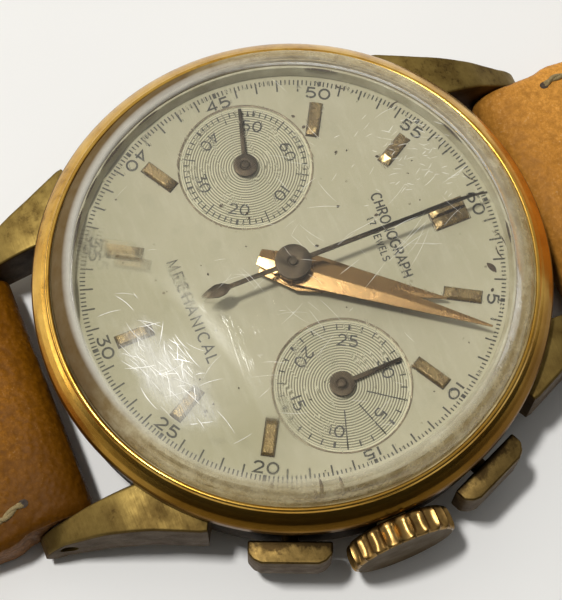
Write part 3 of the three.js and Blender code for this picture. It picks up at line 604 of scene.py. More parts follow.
FINISH = {"case_gold": case_gold, "bright_gold": bezel_gold, "crystal": acrylic, "brass": brass,
          "steel": steel,
          "nickel": nickel, "silvered_dial": dial_silver, "rose_gold": index_rose, "dark_steel": dark_steel,
          "leather": tan_leather}
for part in frame["record"]["subparts"]:
    mesh = frame["nodes"][part["node"]].data
    mesh.materials.clear()
    mesh.materials.append(FINISH[part["material_slot"]])

# ---- case, bezel, crystal

DIAL_Z = 7.8
BEZEL_PROFILE = [(16.42, 6.92), (18.46, 6.92), (18.5, 6.98), (18.5, 7.62), (18.42, 7.82), (18.1, 8.25),
                 (17.72, 8.68),
                 (17.42, 8.95), (17.36, 9.12), (17.22, 9.17), (17.06, 9.14), (17.0, 8.9), (16.98, 8.2),
                 (16.42, 8.2)]
bezel = smooth(lathe("bezel_ring", fillet(BEZEL_PROFILE, 0.07, 4, closed=True), 240), 40)
wear(bezel, "case", "bright_gold", bezel_gold, shaded_bezel_wall_gold, pale_seat, replaces=("bezel",))
# The outer wall takes the darker gold as painted shade; the inner faces take the pale seat.
for face in bezel.data.polygons:
    reach = math.hypot(face.center.x, face.center.y) / MM
    if reach > 18.36:
        face.material_index = 1
    elif reach < 17.03 and face.center.z < 0.0091:
        face.material_index = 2

BAND_PROFILE = [(15.25, 1.62), (17.5, 1.62), (17.98, 2.1), (17.98, 6.85), (16.35, 6.85), (16.35, 8.08),
                (16.06, 8.08),
                (16.06, 7.37), (15.25, 7.37)]
band = smooth(lathe("case_band", fillet(BAND_PROFILE, 0.15, 4, closed=True), 200), 40)


def darken_walls(obj, upright, index=1):
    """Gives the upright faces of a piece its second material, a darker copy that paints shade on them."""
    for face in obj.data.polygons:
        if abs(face.normal.z) < upright:
            face.material_index = index


LUG_TOP = [(10.5, 6.6), (15.4, 6.58), (17.2, 6.28), (19.2, 5.48), (20.6, 4.48), (21.6, 3.74), (22.4, 3.02),
           (23.0, 2.18),
           (23.25, 1.38)]
LUG_FOOT = [(10.5, 1.85), (15.8, 1.8), (18.0, 1.35), (20.2, 0.72), (21.6, 0.32), (22.6, 0.34), (23.1, 0.82),
            (23.25, 1.3)]
LUG_SIDE = [(10.5, 13.0), (11.7, 13.4), (12.35, 14.65), (15.7, 13.1), (18.7, 12.0), (21.7, 11.1),
            (23.25, 10.95)]


def lug_rings(side_x, side_y):
    rings = []
    steps = 44
    for i in range(steps + 1):
        t = i / steps
        y = 11.0 + (23.24 - 11.0) * (1 - (1 - t) ** 1.6)
        top = curve_points(LUG_TOP, y)[0]
        foot = curve_points(LUG_FOOT, y)[0]
        side = blend_points(LUG_SIDE, y)[0]
        inner = 9.5
        r = min(0.16, (top - foot) / 3)
        ring = section(inner, foot, side, top, r * 1.6, 5)
        rings.append([(side_x * x, side_y * y, z) for x, z in ring])
    return rings


lugs = joined("lugs", [loft(f"lug_{a}_{b}", lug_rings(a, b)) for a in (-1, 1) for b in (-1, 1)])
BAR_Y, BAR_Z = 21.5, 2.4
for sign in (-1, 1):
    lugs = cut(lugs, rod("drill", (-16, sign * BAR_Y, BAR_Z), (16, sign * BAR_Y, BAR_Z), 0.64))
smooth(lugs, 28)
wear(band, "case", "case_gold", case_gold, shade_gold, pale_seat, replaces=("case_middle",))
darken_walls(band, 0.9)
for face in band.data.polygons:
    if math.hypot(face.center.x, face.center.y) < 0.01636 and face.center.z > 0.007:
        face.material_index = 2
wear(lugs, "case", "case_gold", case_gold, shaded_lug_wall_gold, replaces=("case_middle",))
darken_walls(lugs, 0.4)

BACK_PROFILE = [(0, 0.0), (15.5, 0.0), (16.0, 0.25), (16.9, 0.92), (16.98, 1.5), (15.14, 1.5), (15.14, 2.38),
                (14.88, 2.38),
                (14.86, 0.8), (0, 0.8)]
back = smooth(lathe("snap_back", fillet(BACK_PROFILE, 0.12, 3), 180), 35)
wear(back, "case", "case_gold", case_gold, replaces=("case_back",))


def dome(apex, sag, edge, first, last, steps):
    """Points along a shallow dome from one radius to another."""
    out = []
    for i in range(steps + 1):
        r = first + (last - first) * i / steps
        out.append((r, apex - sag * (r / edge) ** 2))
    return out


CRYSTAL_TOP = 12.8
inside = dome(CRYSTAL_TOP - 1.15, 1.75, 15.2, 0, 15.1, 18)
wall = fillet([inside[-1], (15.5, 9.72), (15.85, 9.3), (16.02, 8.9), (16.02, 8.25), (16.9, 8.25),
               (16.9, 9.52), (16.55, 10.32),
               (15.95, 10.8), (15.6, 10.92)], 0.3, 5)
outside = list(reversed(dome(CRYSTAL_TOP, 1.95, 15.8, 0, 15.4, 18)))
crystal = smooth(lathe("domed_crystal", inside + wall[1:] + outside, 200), 50)
crystal.visible_diffuse = False
wear(crystal, "case", "crystal", acrylic, replaces=("crystal",))

REFLECTOR_PROFILE = [(15.36, 7.86), (15.91, 7.86), (15.91, 8.94), (15.62, 8.94)]
reflector = smooth(lathe("reflector", fillet(REFLECTOR_PROFILE, 0.05, 3, closed=True), 200), 40)
wear(reflector, "case", "nickel", pale_ring, replaces=("reflector_ring",))

# ---- crown and pushers


CROWN_Z, PUSHER_Z = 3.95, 4.05


def crown_mesh():
    flutes, cell = 23, 14
    around = flutes * cell
    profile = [(0.0, 3.45), (0.12, 3.66), (0.35, 3.83), (0.65, 3.89), (1.0, 3.9), (1.35, 3.88), (1.6, 3.82),
               (1.76, 3.72),
               (1.83, 3.6), (1.86, 3.52)]
    steps = 30
    rings = []
    for i in range(steps + 1):
        z = 1.86 * i / steps
        base = curve_points(profile, z)[0]
        spread = max(0.0, 1 - abs((z - 0.93) / 0.9) ** 2.4)
        depth = 0.34 * spread ** 0.7
        ring = []
        for k in range(around):
            t = (k % cell) / cell
            groove = 1 - abs(2 * t - 1) ** 2.6
            a = TAU * k / around
            r = base - depth * groove
            ring.append((z, r * math.sin(a), -r * math.cos(a)))
        rings.append(ring)
    for place, r, z in ((0, 0.56, 0.0), (steps + 2, 3.4, 1.86), (steps + 3, 1.5, 1.87),
                        (steps + 4, 0.0, 1.87)):
        rings.insert(place, [(z, v, -u) for u, v in circle(0, 0, r, around)])
    rings = [[(x + 18.62, y, z + CROWN_Z) for x, y, z in ring] for ring in rings]
    return loft("crown_head", rings, ends=False)


crown = smooth(crown_mesh(), 30)
wear(crown, "crown", "bright_gold", crown_gold, shaded_crown_face_gold, replaces=("crown",))
for face in crown.data.polygons:
    if face.normal.x > 0.9 and face.center.x > 0.0204:
        face.material_index = 1

STEM_PROFILE = [(0, 0), (0.5, 0), (0.5, 3.6), (0.6, 3.6), (0.6, 4.8), (0.5, 4.8), (0.5, 9.9), (0, 9.9)]
stem = smooth(axle("stem_rod", STEM_PROFILE, 0.05, 2, 32, 9.6, 0, CROWN_Z), 35)
wear(stem, "stem", "steel", steel, replaces=("winding_stem",))


def pusher_mesh(name, angle):
    half = 2.92
    plan = [(18.62, -half), (19.5, -half), (19.98, -half + 0.4), (20.22, -half + 0.95), (20.22, half - 0.95),
            (19.98, half - 0.4), (19.5, half), (18.62, half)]
    cap = prism(name, plan, -1.8, 1.8)
    bevel(cap, 0.16, 5, 25)
    shaft = axle(name + "_shaft", [(0, 0), (0.6, 0), (0.6, 4.4), (0, 4.4)], 0.08, 3, 32, 14.55, 0, 0)
    whole = joined(name, [cap, shaft])
    turned(whole, angle, "Z")
    moved(whole, 0, 0, PUSHER_Z)
    return smooth(whole, 35)


PUSH = math.radians(23)
for name, angle, node in (("start_button", PUSH, "pusher_start"), ("reset_button", -PUSH, "pusher_reset")):
    button = pusher_mesh(name, angle)
    wear(button, node, "bright_gold", pusher_gold, shaded_pusher_wall_gold, replaces=(node,))
    darken_walls(button, 0.3)

# ---- dial


def holed_plate(name, outer, holes, low, high):
    """A flat plate with round holes."""
    bm = bmesh.new()
    edges = []
    for loop in [outer] + holes:
        verts = [bm.verts.new(Vector((x, y, high)) * MM) for x, y in loop]
        edges += [bm.edges.new((verts[k - 1], verts[k])) for k in range(len(verts))]
    bmesh.ops.triangle_fill(bm, use_beauty=True, use_dissolve=False, edges=edges)
    faces = bm.faces[:]
    down = bmesh.ops.extrude_face_region(bm, geom=faces)
    moved = [v for v in down["geom"] if isinstance(v, bmesh.types.BMVert)]
    bmesh.ops.translate(bm, verts=moved, vec=Vector((0, 0, low - high)) * MM)
    bmesh.ops.recalc_face_normals(bm, faces=bm.faces)
    mesh = bpy.data.meshes.new(name)
    bm.to_mesh(mesh)
    bm.free()
    return add_object(name, mesh)


dial = holed_plate("dial_plate", circle(0, 0, 15.88, 180),
                   [circle(0, 0, 1.06, 40), circle(-REGISTER_X, 0, 4.79, 120),
                    circle(REGISTER_X, 0, 4.79, 120)],
                   DIAL_Z - 0.3, DIAL_Z)
smooth(dial, 30)
wear(dial, "case", "silvered_dial", dial_silver, replaces=("dial",))
for side, x in REGISTERS:
    floor_z = DIAL_Z - 0.12
    profile = [(0.34, floor_z - 0.1), (0.34, floor_z)]
    r = 0.9
    while r < 4.56:
        profile.append((r, floor_z + 0.014 * math.cos(TAU * (r - 0.9) / 0.19)))
        r += 0.19 / 6
    profile += [(4.6, floor_z), (4.69, floor_z), (4.78, DIAL_Z - 0.01), (4.85, DIAL_Z - 0.3),
                (4.85, floor_z - 0.3),
                (0.34, floor_z - 0.3)]
    dish = smooth(lathe(f"register_{side}", profile, 160, (x, 0), closed=True), 50)
    wear(dish, "case", "silvered_dial", register_silver[side], replaces=("dial",))

# ---- printing on the dial


def arc(cx, cy, rx, ry, start, end, steps=10):
    out = []
    for i in range(steps + 1):
        a = math.radians(start + (end - start) * i / steps)
        out.append((cx + rx * math.cos(a), cy + ry * math.sin(a)))
    return out


def oval():
    return [arc(0.42, 0.5, 0.42, 0.5, 90, 450, 20)]


GLYPHS = {
    "0": (0.84, oval()),
    "1": (0.24, [[(0.12, 0.0), (0.12, 1.0)]]),
    "2": (0.78, [arc(0.38, 0.7, 0.36, 0.3, 165, -35, 10) + [(0.02, 0.0), (0.78, 0.0)]]),
    "3": (0.76, [[(0.05, 1.0), (0.7, 1.0), (0.36, 0.6)] + arc(0.36, 0.3, 0.38, 0.3, 80, -150, 12)]),
    "4": (0.84, [[(0.62, 0.0), (0.62, 1.0), (0.02, 0.3), (0.84, 0.3)]]),
    "5": (0.78, [[(0.7, 1.0), (0.12, 1.0), (0.08, 0.55)] + arc(0.36, 0.31, 0.4, 0.31, 115, -145, 12)]),
    "6": (0.8, [arc(0.4, 0.3, 0.38, 0.3, 90, 450, 16),
                [(0.02, 0.32), (0.12, 0.7), (0.36, 0.95), (0.66, 1.0)]]),
    "7": (0.76, [[(0.02, 1.0), (0.74, 1.0), (0.25, 0.0)]]),
    "A": (0.8, [[(0.0, 0.0), (0.4, 1.0), (0.8, 0.0)], [(0.14, 0.33), (0.66, 0.33)]]),
    "C": (0.8, [arc(0.45, 0.5, 0.43, 0.5, 48, 312, 14)]),
    "E": (0.6, [[(0.6, 1.0), (0.05, 1.0), (0.05, 0.0), (0.6, 0.0)], [(0.05, 0.52), (0.52, 0.52)]]),
    "G": (0.86, [arc(0.45, 0.5, 0.43, 0.5, 48, 340, 14) + [(0.86, 0.45), (0.52, 0.45)]]),
    "H": (0.76, [[(0.05, 0.0), (0.05, 1.0)], [(0.71, 0.0), (0.71, 1.0)], [(0.05, 0.52), (0.71, 0.52)]]),
    "I": (0.12, [[(0.06, 0.0), (0.06, 1.0)]]),
    "J": (0.5, [[(0.42, 1.0), (0.42, 0.25)] + arc(0.22, 0.22, 0.2, 0.22, 0, -150, 6)]),
    "L": (0.6, [[(0.05, 1.0), (0.05, 0.0), (0.58, 0.0)]]),
    "M": (0.9, [[(0.04, 0.0), (0.1, 1.0), (0.45, 0.12), (0.8, 1.0), (0.86, 0.0)]]),
    "N": (0.78, [[(0.05, 0.0), (0.05, 1.0), (0.73, 0.0), (0.73, 1.0)]]),
    "O": (0.88, [arc(0.44, 0.5, 0.44, 0.5, 90, 450, 20)]),
    "P": (0.66, [[(0.05, 0.0), (0.05, 1.0)] + arc(0.32, 0.74, 0.32, 0.26, 90, -90, 8) + [(0.05, 0.48)]]),
    "R": (0.72, [[(0.05, 0.0), (0.05, 1.0)] + arc(0.34, 0.74, 0.32, 0.26, 90, -90, 8) + [(0.05, 0.48)],
                 [(0.36, 0.48), (0.7, 0.0)]]),
    "S": (0.7, [arc(0.36, 0.75, 0.32, 0.25, 35, 250, 9) + arc(0.34, 0.25, 0.34, 0.25, 70, -150, 9)]),
    "W": (1.0, [[(0.0, 1.0), (0.27, 0.0), (0.5, 0.9), (0.73, 0.0), (1.0, 1.0)]]),
    " ": (0.5, []),
}


class Print:
    """Thin raised ink: strokes and bars gathered into one mesh."""

    def __init__(self, z, height=0.014):
        self.verts, self.faces, self.z, self.height = [], [], z, height

    def quad(self, corners):
        base = len(self.verts)
        self.verts += [(x, y, self.z) for x, y in corners] + [(x, y, self.z + self.height) for x,
                                                              y in corners]
        self.faces += [(base, base + 1, base + 2, base + 3), (base + 4, base + 5, base + 6, base + 7)]
        for k, m in pairs(4):
            self.faces.append((base + k, base + m, base + 4 + m, base + 4 + k))

    def stroke(self, points, width):
        """A ribbon along a polyline, mitred at its corners."""
        left, right = [], []
        count = len(points)
        closed = (Vector(points[0]) - Vector(points[-1])).length < 1e-6
        for i in range(count):
            p = Vector(points[i])
            a = Vector(points[i - 1]) if i else (Vector(points[-2]) if closed else None)
            b = Vector(points[i + 1]) if i + 1 < count else (Vector(points[1]) if closed else None)
            before = (p - a).normalized() if a is not None else (b - p).normalized()
            after = (b - p).normalized() if b is not None else before
            along = before + after
            along = along.normalized() if along.length > 1e-6 else after
            normal = Vector((-along.y, along.x))
            stretch = 1 / max(0.45, normal.dot(Vector((-after.y, after.x))))
            left.append(p + normal * width / 2 * stretch)
            right.append(p - normal * width / 2 * stretch)
        for i in range(count - 1):
            self.quad([tuple(left[i]), tuple(right[i]), tuple(right[i + 1]), tuple(left[i + 1])])

    def radial(self, centre, clock, inner, outer, width):
        """A tick along a clock direction from a centre."""
        a = math.radians(clock)
        d, n = Vector((math.sin(a), math.cos(a))), Vector((math.cos(a), -math.sin(a)))
        c = Vector(centre)
        self.quad([tuple(c + d * inner - n * width / 2), tuple(c + d * inner + n * width / 2),
                   tuple(c + d * outer + n * width / 2), tuple(c + d * outer - n * width / 2)])

    def words(self, text, centre, turn, height, line, spread=0.3, stretch=1.0):
        """Lettering centred on a point and turned about it, in radians anticlockwise."""
        advance = [GLYPHS[c][0] * stretch + spread for c in text]
        x = -(sum(advance) - spread) / 2
        for c, step in zip(text, advance):
            for path in GLYPHS[c][1]:
                points = []
                for u, v in path:
                    px, py = (x + u * stretch) * height, (v - 0.5) * height
                    points.append((centre[0] + px * math.cos(turn) - py * math.sin(turn),
                                   centre[1] + px * math.sin(turn) + py * math.cos(turn)))
                self.stroke(points, line)
            x += step

    def numeral(self, text, centre, clock, reach, height, line, spread=0.3, stretch=1.0):
        """A number at a clock angle, its head outward on the upper half and inward on the lower."""
        a = math.radians(clock)
        at = (centre[0] + reach * math.sin(a), centre[1] + reach * math.cos(a))
        flip = math.pi if 95 < clock < 265 else 0.0
        self.words(text, at, -a + flip, height, line, spread, stretch)

    def object(self, name):
        return make(name, self.verts, self.faces, weld=1e-6)


track = Print(DIAL_Z - 0.002)
for i in range(300):
    clock = 360 * i / 300
    if i % 25 == 0:
        track.radial((0, 0), clock, 14.66, 15.07, 0.26)
    elif i % 5 == 0:
        track.radial((0, 0), clock, 14.14, 15.07, 0.12)
    else:
        track.radial((0, 0), clock, 14.68, 15.07, 0.1)
for k in range(1, 13):
    track.numeral(str(5 * k), (0, 0), 30 * k % 360, 14.12, 0.76, 0.15, 0.36, 1.15)
track.words("CHRONOGRAPH", (-0.05, 7.6), -0.05, 0.72, 0.125, 0.2, 0.84)
track.words("17 JEWELS", (-0.1, 6.6), -0.05, 0.48, 0.09, 0.26, 0.92)
track.words("MECHANICAL", (-0.1, -7.55), 0.0, 0.78, 0.12, 0.36, 1.0)
wear(track.object("dial_printing"), "case", "silvered_dial", ink)

seconds = Print(DIAL_Z - 0.12 + 0.004)
SECONDS_AT = (-REGISTER_X, 0.0)
for i in range(60):
    clock = 6 * i
    if i % 10 == 5:
        seconds.radial(SECONDS_AT, clock, 3.66, 4.56, 0.085)
    elif i % 10 == 0:
        seconds.radial(SECONDS_AT, clock, 4.08, 4.5, 0.18)
    else:
        seconds.radial(SECONDS_AT, clock, 4.08, 4.46, 0.09)
for k in range(1, 7):
    seconds.numeral(str(10 * k), SECONDS_AT, 60 * k % 360, 3.28, 0.76, 0.12, 0.3, 0.92)
wear(seconds.object("seconds_printing"), "case", "silvered_dial", ink)

minutes = Print(DIAL_Z - 0.12 + 0.004)
MINUTES_AT = (REGISTER_X, 0.0)
for i in range(30):
    clock = 12 * i
    minutes.radial(MINUTES_AT, clock, 4.06, 4.48, 0.18 if i % 5 == 0 else 0.09)
for i in (3, 6, 9):
    minutes.radial(MINUTES_AT, 12 * i, 1.75, 4.6, 0.085)
for k in range(1, 7):
    minutes.numeral(str(5 * k), MINUTES_AT, 60 * k % 360, 3.28, 0.76, 0.12, 0.3, 0.95)
wear(minutes.object("minutes_printing"), "case", "silvered_dial", ink)

# A brown ring round each register: partly print, partly a painted shadow of its step.
for side, x in REGISTERS:
    rim = lathe(f"register_rim_{side}", [(4.75, DIAL_Z - 0.06), (4.89, DIAL_Z - 0.06), (4.89, DIAL_Z + 0.012),
                                        (4.82, DIAL_Z + 0.016), (4.75, DIAL_Z + 0.004)], 160, (x, 0),
                closed=True)
    wear(rim, "case", "silvered_dial", rim_brown)

# ---- indexes and hands


def index_piece(name, xs, width, clock):
    bars = []
    for x in xs:
        inner, outer, w = 10.68, 13.28, width / 2
        verts = []
        for z, inset, nose in ((0.0, 0.0, 0.0), (0.16, 0.0, 0.0), (0.38, 0.09, 0.5)):
            verts += [(x - w + inset, inner + nose, z), (x + w - inset, inner + nose, z),
                      (x + w - inset, outer - inset, z), (x - w + inset, outer - inset, z)]
        verts.append((x, inner, 0.22))
        faces = [(0, 3, 2, 1), (8, 9, 10, 11)]
        for k in range(1, 4):
            m = (k + 1) % 4
            faces.append((k, m, 4 + m, 4 + k))
            faces.append((4 + k, 4 + m, 8 + m, 8 + k))
        faces += [(0, 1, 5, 12, 4), (4, 12, 8), (12, 5, 9), (12, 9, 8)]
        bars.append(make(f"{name}_{x}", verts, faces))
    whole = joined(name, bars) if len(bars) > 1 else bars[0]
    whole.name = name
    bevel(whole, 0.025, 2, 20)
    moved(whole, 0, 0, DIAL_Z + 0.01)
    turned(whole, -math.radians(clock), "Z")
    return whole


for hour in (1, 2, 4, 5, 6, 7, 8, 10, 11, 12):
    node = f"index_{hour:02d}"
    twin = hour == 12
    xs = (-0.45, 0.45) if twin else (0,)
    piece = index_piece(f"applied_{node}", xs, 0.84, 30 * hour)
    # A slightly larger dark plate under each index: grime, with a painted shadow round its edges.
    shadow_and_grime = prism(f"dirt_{node}", box_outline(min(xs) - 0.49, 10.61, max(xs) + 0.49, 13.35), DIAL_Z - 0.02,
                 DIAL_Z + 0.012)
    turned(shadow_and_grime, -math.radians(30 * hour), "Z")
    wear(shadow_and_grime, "case", "silvered_dial", grime_and_shade)
    wear(piece, "case", "rose_gold", index_rose, replaces=(node,))


def dauphine(name, tip, half, tail, tail_half, base, boss, bore, clock):
    """A two-facet hand: a ridge from tail to tip, with a flat boss round its bore."""
    edge, ridge = base + 0.08, base + 0.26
    outline = [(-tail_half, -tail), (-half, 0.55), (-half * 0.62, tip * 0.42), (-0.07, tip - 0.12),
               (0.07, tip - 0.12),
               (half * 0.62, tip * 0.42), (half, 0.55), (tail_half, -tail)]
    spine = [(0, -tail, base + 0.2), (0, 0.55, ridge), (0, tip * 0.42, ridge), (0, tip - 0.12, base + 0.12)]
    verts = [(x, y, base) for x, y in outline] + [(x, y, edge) for x, y in outline] + spine
    faces = [tuple(range(8))]
    for k, m in pairs(8):
        faces.append((k, m, 8 + m, 8 + k))
    for k in range(3):
        faces.append((8 + k, 9 + k, 17 + k, 16 + k))
        faces.append((15 - k, 14 - k, 17 + k, 16 + k))
    faces += [(8, 15, 16), (11, 12, 19)]
    blade = make(name, verts, faces)
    bevel(blade, 0.02, 2, 8)
    ring = lathe(name + "_boss", section(bore, base - 0.03, boss, ridge + 0.03, 0.06, 3), 64)
    whole = joined(name, [blade, ring])
    turned(whole, -math.radians(clock), "Z")
    return smooth(whole, 12)


hour_hand = dauphine("hour_pointer", 11.0, 1.5, 2.3, 0.75, 8.52, 1.25, 0.98, 33.6)
wear(hour_hand, "hour_display", "rose_gold", hand_rose, replaces=("hour_hand",))
minute_hand = dauphine("minute_pointer", 14.5, 1.2, 2.5, 0.6, 9.02, 1.08, 0.74, 39.9)
wear(minute_hand, "minute_display", "rose_gold", hand_rose, replaces=("minute_hand",))


def flat_hand(name, outline, base, thick, hub, centre, clock, cap=0.0):
    blade = prism(name, outline, base, base + thick)
    bevel(blade, 0.02, 2, 20)
    rise = base + thick + 0.12
    profile = [(0, base + 0.02), (0.22, base + 0.02), (0.22, base - 0.05), (hub, base - 0.05), (hub, rise),
               (0.42, rise),
               (0.38, rise - 0.05), (0.3, rise - 0.05), (0.26, rise + cap), (0, rise + cap)]
    disc = lathe(name + "_hub", fillet(profile, 0.04, 3), 64)
    whole = joined(name, [blade, disc])
    for v in whole.data.vertices:
        over = max(0.0, v.co.y / MM - 11.2) / 3.7
        v.co.z -= over * over * 0.95 * MM
    turned(whole, -math.radians(clock), "Z")
    moved(whole, *centre, 0)
    return smooth(whole, 25)


SWEEP = fillet([(0.17, 0), (0.15, 4), (0.13, 8), (0.11, 11.2), (0.1, 12.4), (0.09, 13.4), (0.08, 14.2),
                (0.07, 14.9),
                (-0.07, 14.9), (-0.08, 14.2), (-0.09, 13.4), (-0.1, 12.4), (-0.11, 11.2), (-0.13, 8),
                (-0.15, 4), (-0.17, 0), (-0.16, -4.75), (-0.42, -5.1), (-0.5, -5.65),
                (-0.28, -6.35), (0, -6.9), (0.28, -6.35), (0.5, -5.65), (0.42, -5.1), (0.16, -4.75)], 0.18, 3,
               closed=True)
BATON = [(0.22, -0.8), (0.22, 0), (0.12, 4.5), (-0.12, 4.5), (-0.22, 0), (-0.22, -0.8)]
sweep = flat_hand("chronograph_pointer", SWEEP, 9.95, 0.12, 1.28, (0, 0), 0, 0.1)
wear(sweep, "chronograph_runner", "dark_steel", dark_steel, replaces=("chronograph_hand",))
small = flat_hand("seconds_pointer", BATON, 7.95, 0.1, 0.88, SECONDS_AT, 286.5, 0.08)
wear(small, "fourth_wheel", "dark_steel", dark_steel, replaces=("small_seconds_hand",))
counter = flat_hand("minute_counter_pointer", BATON, 7.95, 0.1, 0.9, MINUTES_AT, 358, 0.08)
wear(counter, "minute_counter", "dark_steel", dark_steel, replaces=("minute_counter_hand",))

# ---- scratches, dirt and stains


def slivers(name, marks, surface, thick=0.008):
    """Thin tapered marks lying on a surface: each is (x, y, heading, length, width, bow)."""
    verts, faces = [], []
    for x, y, heading, length, width, bow in marks:
        base, steps = len(verts), 6
        ux, uy = math.cos(heading), math.sin(heading)
        for i in range(steps + 1):
            t = i / steps - 0.5
            side = bow * (0.25 - t * t) * length
            w = width * max(0.12, 1 - abs(2 * t) ** 2.5) / 2
            for across, lift in ((-w, 0.0), (w, 0.0), (w, thick), (-w, thick)):
                px = x + ux * t * length - uy * (side + across)
                py = y + uy * t * length + ux * (side + across)
                verts.append((px, py, surface(px, py) + lift))
        for i in range(steps):
            for k, m in pairs(4):
                faces.append((base + 4 * i + k, base + 4 * i + m, base + 4 * i + 4 + m, base + 4 * i + 4 + k))
        faces += [(base, base + 1, base + 2, base + 3), tuple(base + 4 * steps + k for k in range(4))]
    return make(name, verts, faces)


def crystal_height(x, y):
    return CRYSTAL_TOP - 1.95 * (x * x + y * y) / 15.8 ** 2 - 0.002


def scatter(seed, count, centre, spread, turn, fan, lengths, widths):
    """Random marks round a place: spread is along and across the turned direction."""
    rng = random.Random(seed)
    marks = []
    while len(marks) < count:
        u, v = rng.gauss(0, spread[0]), rng.gauss(0, spread[1])
        x = centre[0] + u * math.cos(turn) - v * math.sin(turn)
        y = centre[1] + u * math.sin(turn) + v * math.cos(turn)
        heading = turn + rng.choice(fan) + rng.gauss(0, 0.12)
        length = rng.uniform(*lengths)
        if math.hypot(x, y) + length / 2 < 15.2:
            marks.append((x, y, heading, length, rng.uniform(*widths), rng.uniform(-0.25, 0.25)))
    return marks


hairlines = (scatter(3, 60, SCUFF_AT, (2.5, 1.0), 0.33, (0.0, 0.0, 0.5, -0.6, 1.0), (0.5, 2.2), (0.02, 0.06))
             + scatter(5, 70, (-3.6, 11.0), (2.4, 2.0), 0.9, (0.0, 0.6, 1.2), (0.25, 0.8), (0.02, 0.045))
             + scatter(8, 70, (0.0, 0.0), (7.0, 7.0), 0.4, (0.0, 1.6, 0.8), (0.3, 2.4), (0.012, 0.028))
             + scatter(11, 14, (1.5, 8.5), (4.5, 2.0), 1.9, (0.0, 0.2), (1.2, 4.0), (0.018, 0.035)))
wear(slivers("hairline_scratches", hairlines, crystal_height), "case", "crystal", scuff)

rng = random.Random(21)
specks = []
for _ in range(46):
    far, turn = 14.6 * math.sqrt(rng.random()), rng.uniform(0, TAU)
    size = rng.choice((0.1, 0.12, 0.16, 0.22))
    specks.append((far * math.cos(turn), far * math.sin(turn), rng.uniform(0, TAU), size * 1.4, size, 0.2))
specks.append((4.9, 13.1, 0.35, 0.95, 0.42, 0.15))
for clock, span, far in ((12, 1.6, 14.9), (352, 1.3, 14.75), (340, 0.9, 14.6), (16, 1.1, 14.7),
                         (322, 1.2, 15.0), (306, 0.9, 14.95)):
    turn = math.radians(clock)
    specks.append((far * math.sin(turn), far * math.cos(turn), rng.uniform(0, TAU), span, 0.12, 0.5))
wear(slivers("dial_specks", specks, lambda x, y: DIAL_Z - 0.002, 0.012), "case", "silvered_dial", grime_and_shade)

stains = []
for clock, span, far, wide in ((196, 3.2, 15.5, 0.3), (205, 2.6, 15.58, 0.22), (213, 3.4, 15.5, 0.34),
                               (225, 2.2, 15.56, 0.24),
                               (236, 3.0, 15.5, 0.3), (250, 2.0, 15.55, 0.2), (300, 2.6, 15.5, 0.2),
                               (340, 2.2, 15.52, 0.2), (12, 1.8, 15.5, 0.25)):
    turn = math.radians(clock)
    stains.append((far * math.sin(turn), far * math.cos(turn), -turn, span, wide, 0.033 * span))
for clock, span, far in ((106, 0.95, 15.7), (107.5, 0.5, 15.95), (101, 0.9, 15.75), (118, 0.4, 15.6)):
    turn = math.radians(clock)
    stains.append((far * math.sin(turn), far * math.cos(turn), math.pi / 2 - turn, span, 0.24, 0.4))
wear(slivers("rim_stains", stains, lambda x, y: 8.97, 0.02), "case", "silvered_dial", grime_and_shade)

# ---- spring bars and strap

BAR_PROFILE = [(0, -10.6), (0.5, -10.6), (0.5, -9.75), (0.72, -9.5), (0.72, -8.9), (0.75, -8.8), (0.75, 8.8),
               (0.72, 8.9), (0.72, 9.5), (0.5, 9.75), (0.5, 10.6), (0, 10.6)]
for name, sign in (("spring_bar_12", 1), ("spring_bar_6", -1)):
    bar = smooth(axle(f"{name}_pin", BAR_PROFILE, 0.08, 3, 32, 0, sign * BAR_Y, BAR_Z), 30)
    wear(bar, "case", "steel", steel, replaces=(name,))

# (reach from the spring bar, half width, underside, top of the crown)
LOOP_ROWS = [(-2.7, 9.05, 1.75, 3.25), (-2.6, 9.2, 1.3, 3.75), (-2.35, 9.3, 0.95, 4.15),
             (-1.8, 9.35, 0.48, 4.65),
             (-0.9, 9.38, 0.13, 5.0), (0, 9.38, 0.06, 5.1)]
BUCKLE_ROWS = LOOP_ROWS + [(2.3, 9.4, 0.07, 5.05), (3.4, 9.75, 0.08, 5.0), (7, 9.6, 0.09, 4.75),
                           (20, 8.78, 0.26, 3.89), (34, 8.28, 0.81, 3.84), (42, 7.98, 1.06, 3.84),
                           (70, 7.98, 1.06, 3.84), (75, 7.98, 0.76, 4.04), (76.2, 7.98, 1.1, 3.69),
                           (76.7, 7.9, 1.9, 2.9)]
HOLE_ROWS = LOOP_ROWS + [(2.3, 9.42, 0.06, 5.0), (3.4, 9.9, 0.06, 4.95), (7, 9.8, 0.06, 4.6),
                         (20, 8.78, 0.06, 3.59), (40, 8.28, 0.06, 3.09), (60, 7.98, 0.06, 2.79),
                         (106, 7.98, 0.06, 2.59), (110, 7.15, 0.06, 2.59), (113, 5.15, 0.06, 2.49),
                         (115, 2.55, 0.1, 2.39)]
TOP_STEPS, EDGE_STEPS, UNDER_STEPS = 36, 5, 8


def strap_top(rows, reach, x):
    """The height of the crowned top side of the strap at a place."""
    half, low, high = blend_points(rows, reach)
    thick = high - low
    drop = min(0.62, thick * 0.3)
    u = min(1.0, abs(x) / half)
    return high - drop * u ** 3.2


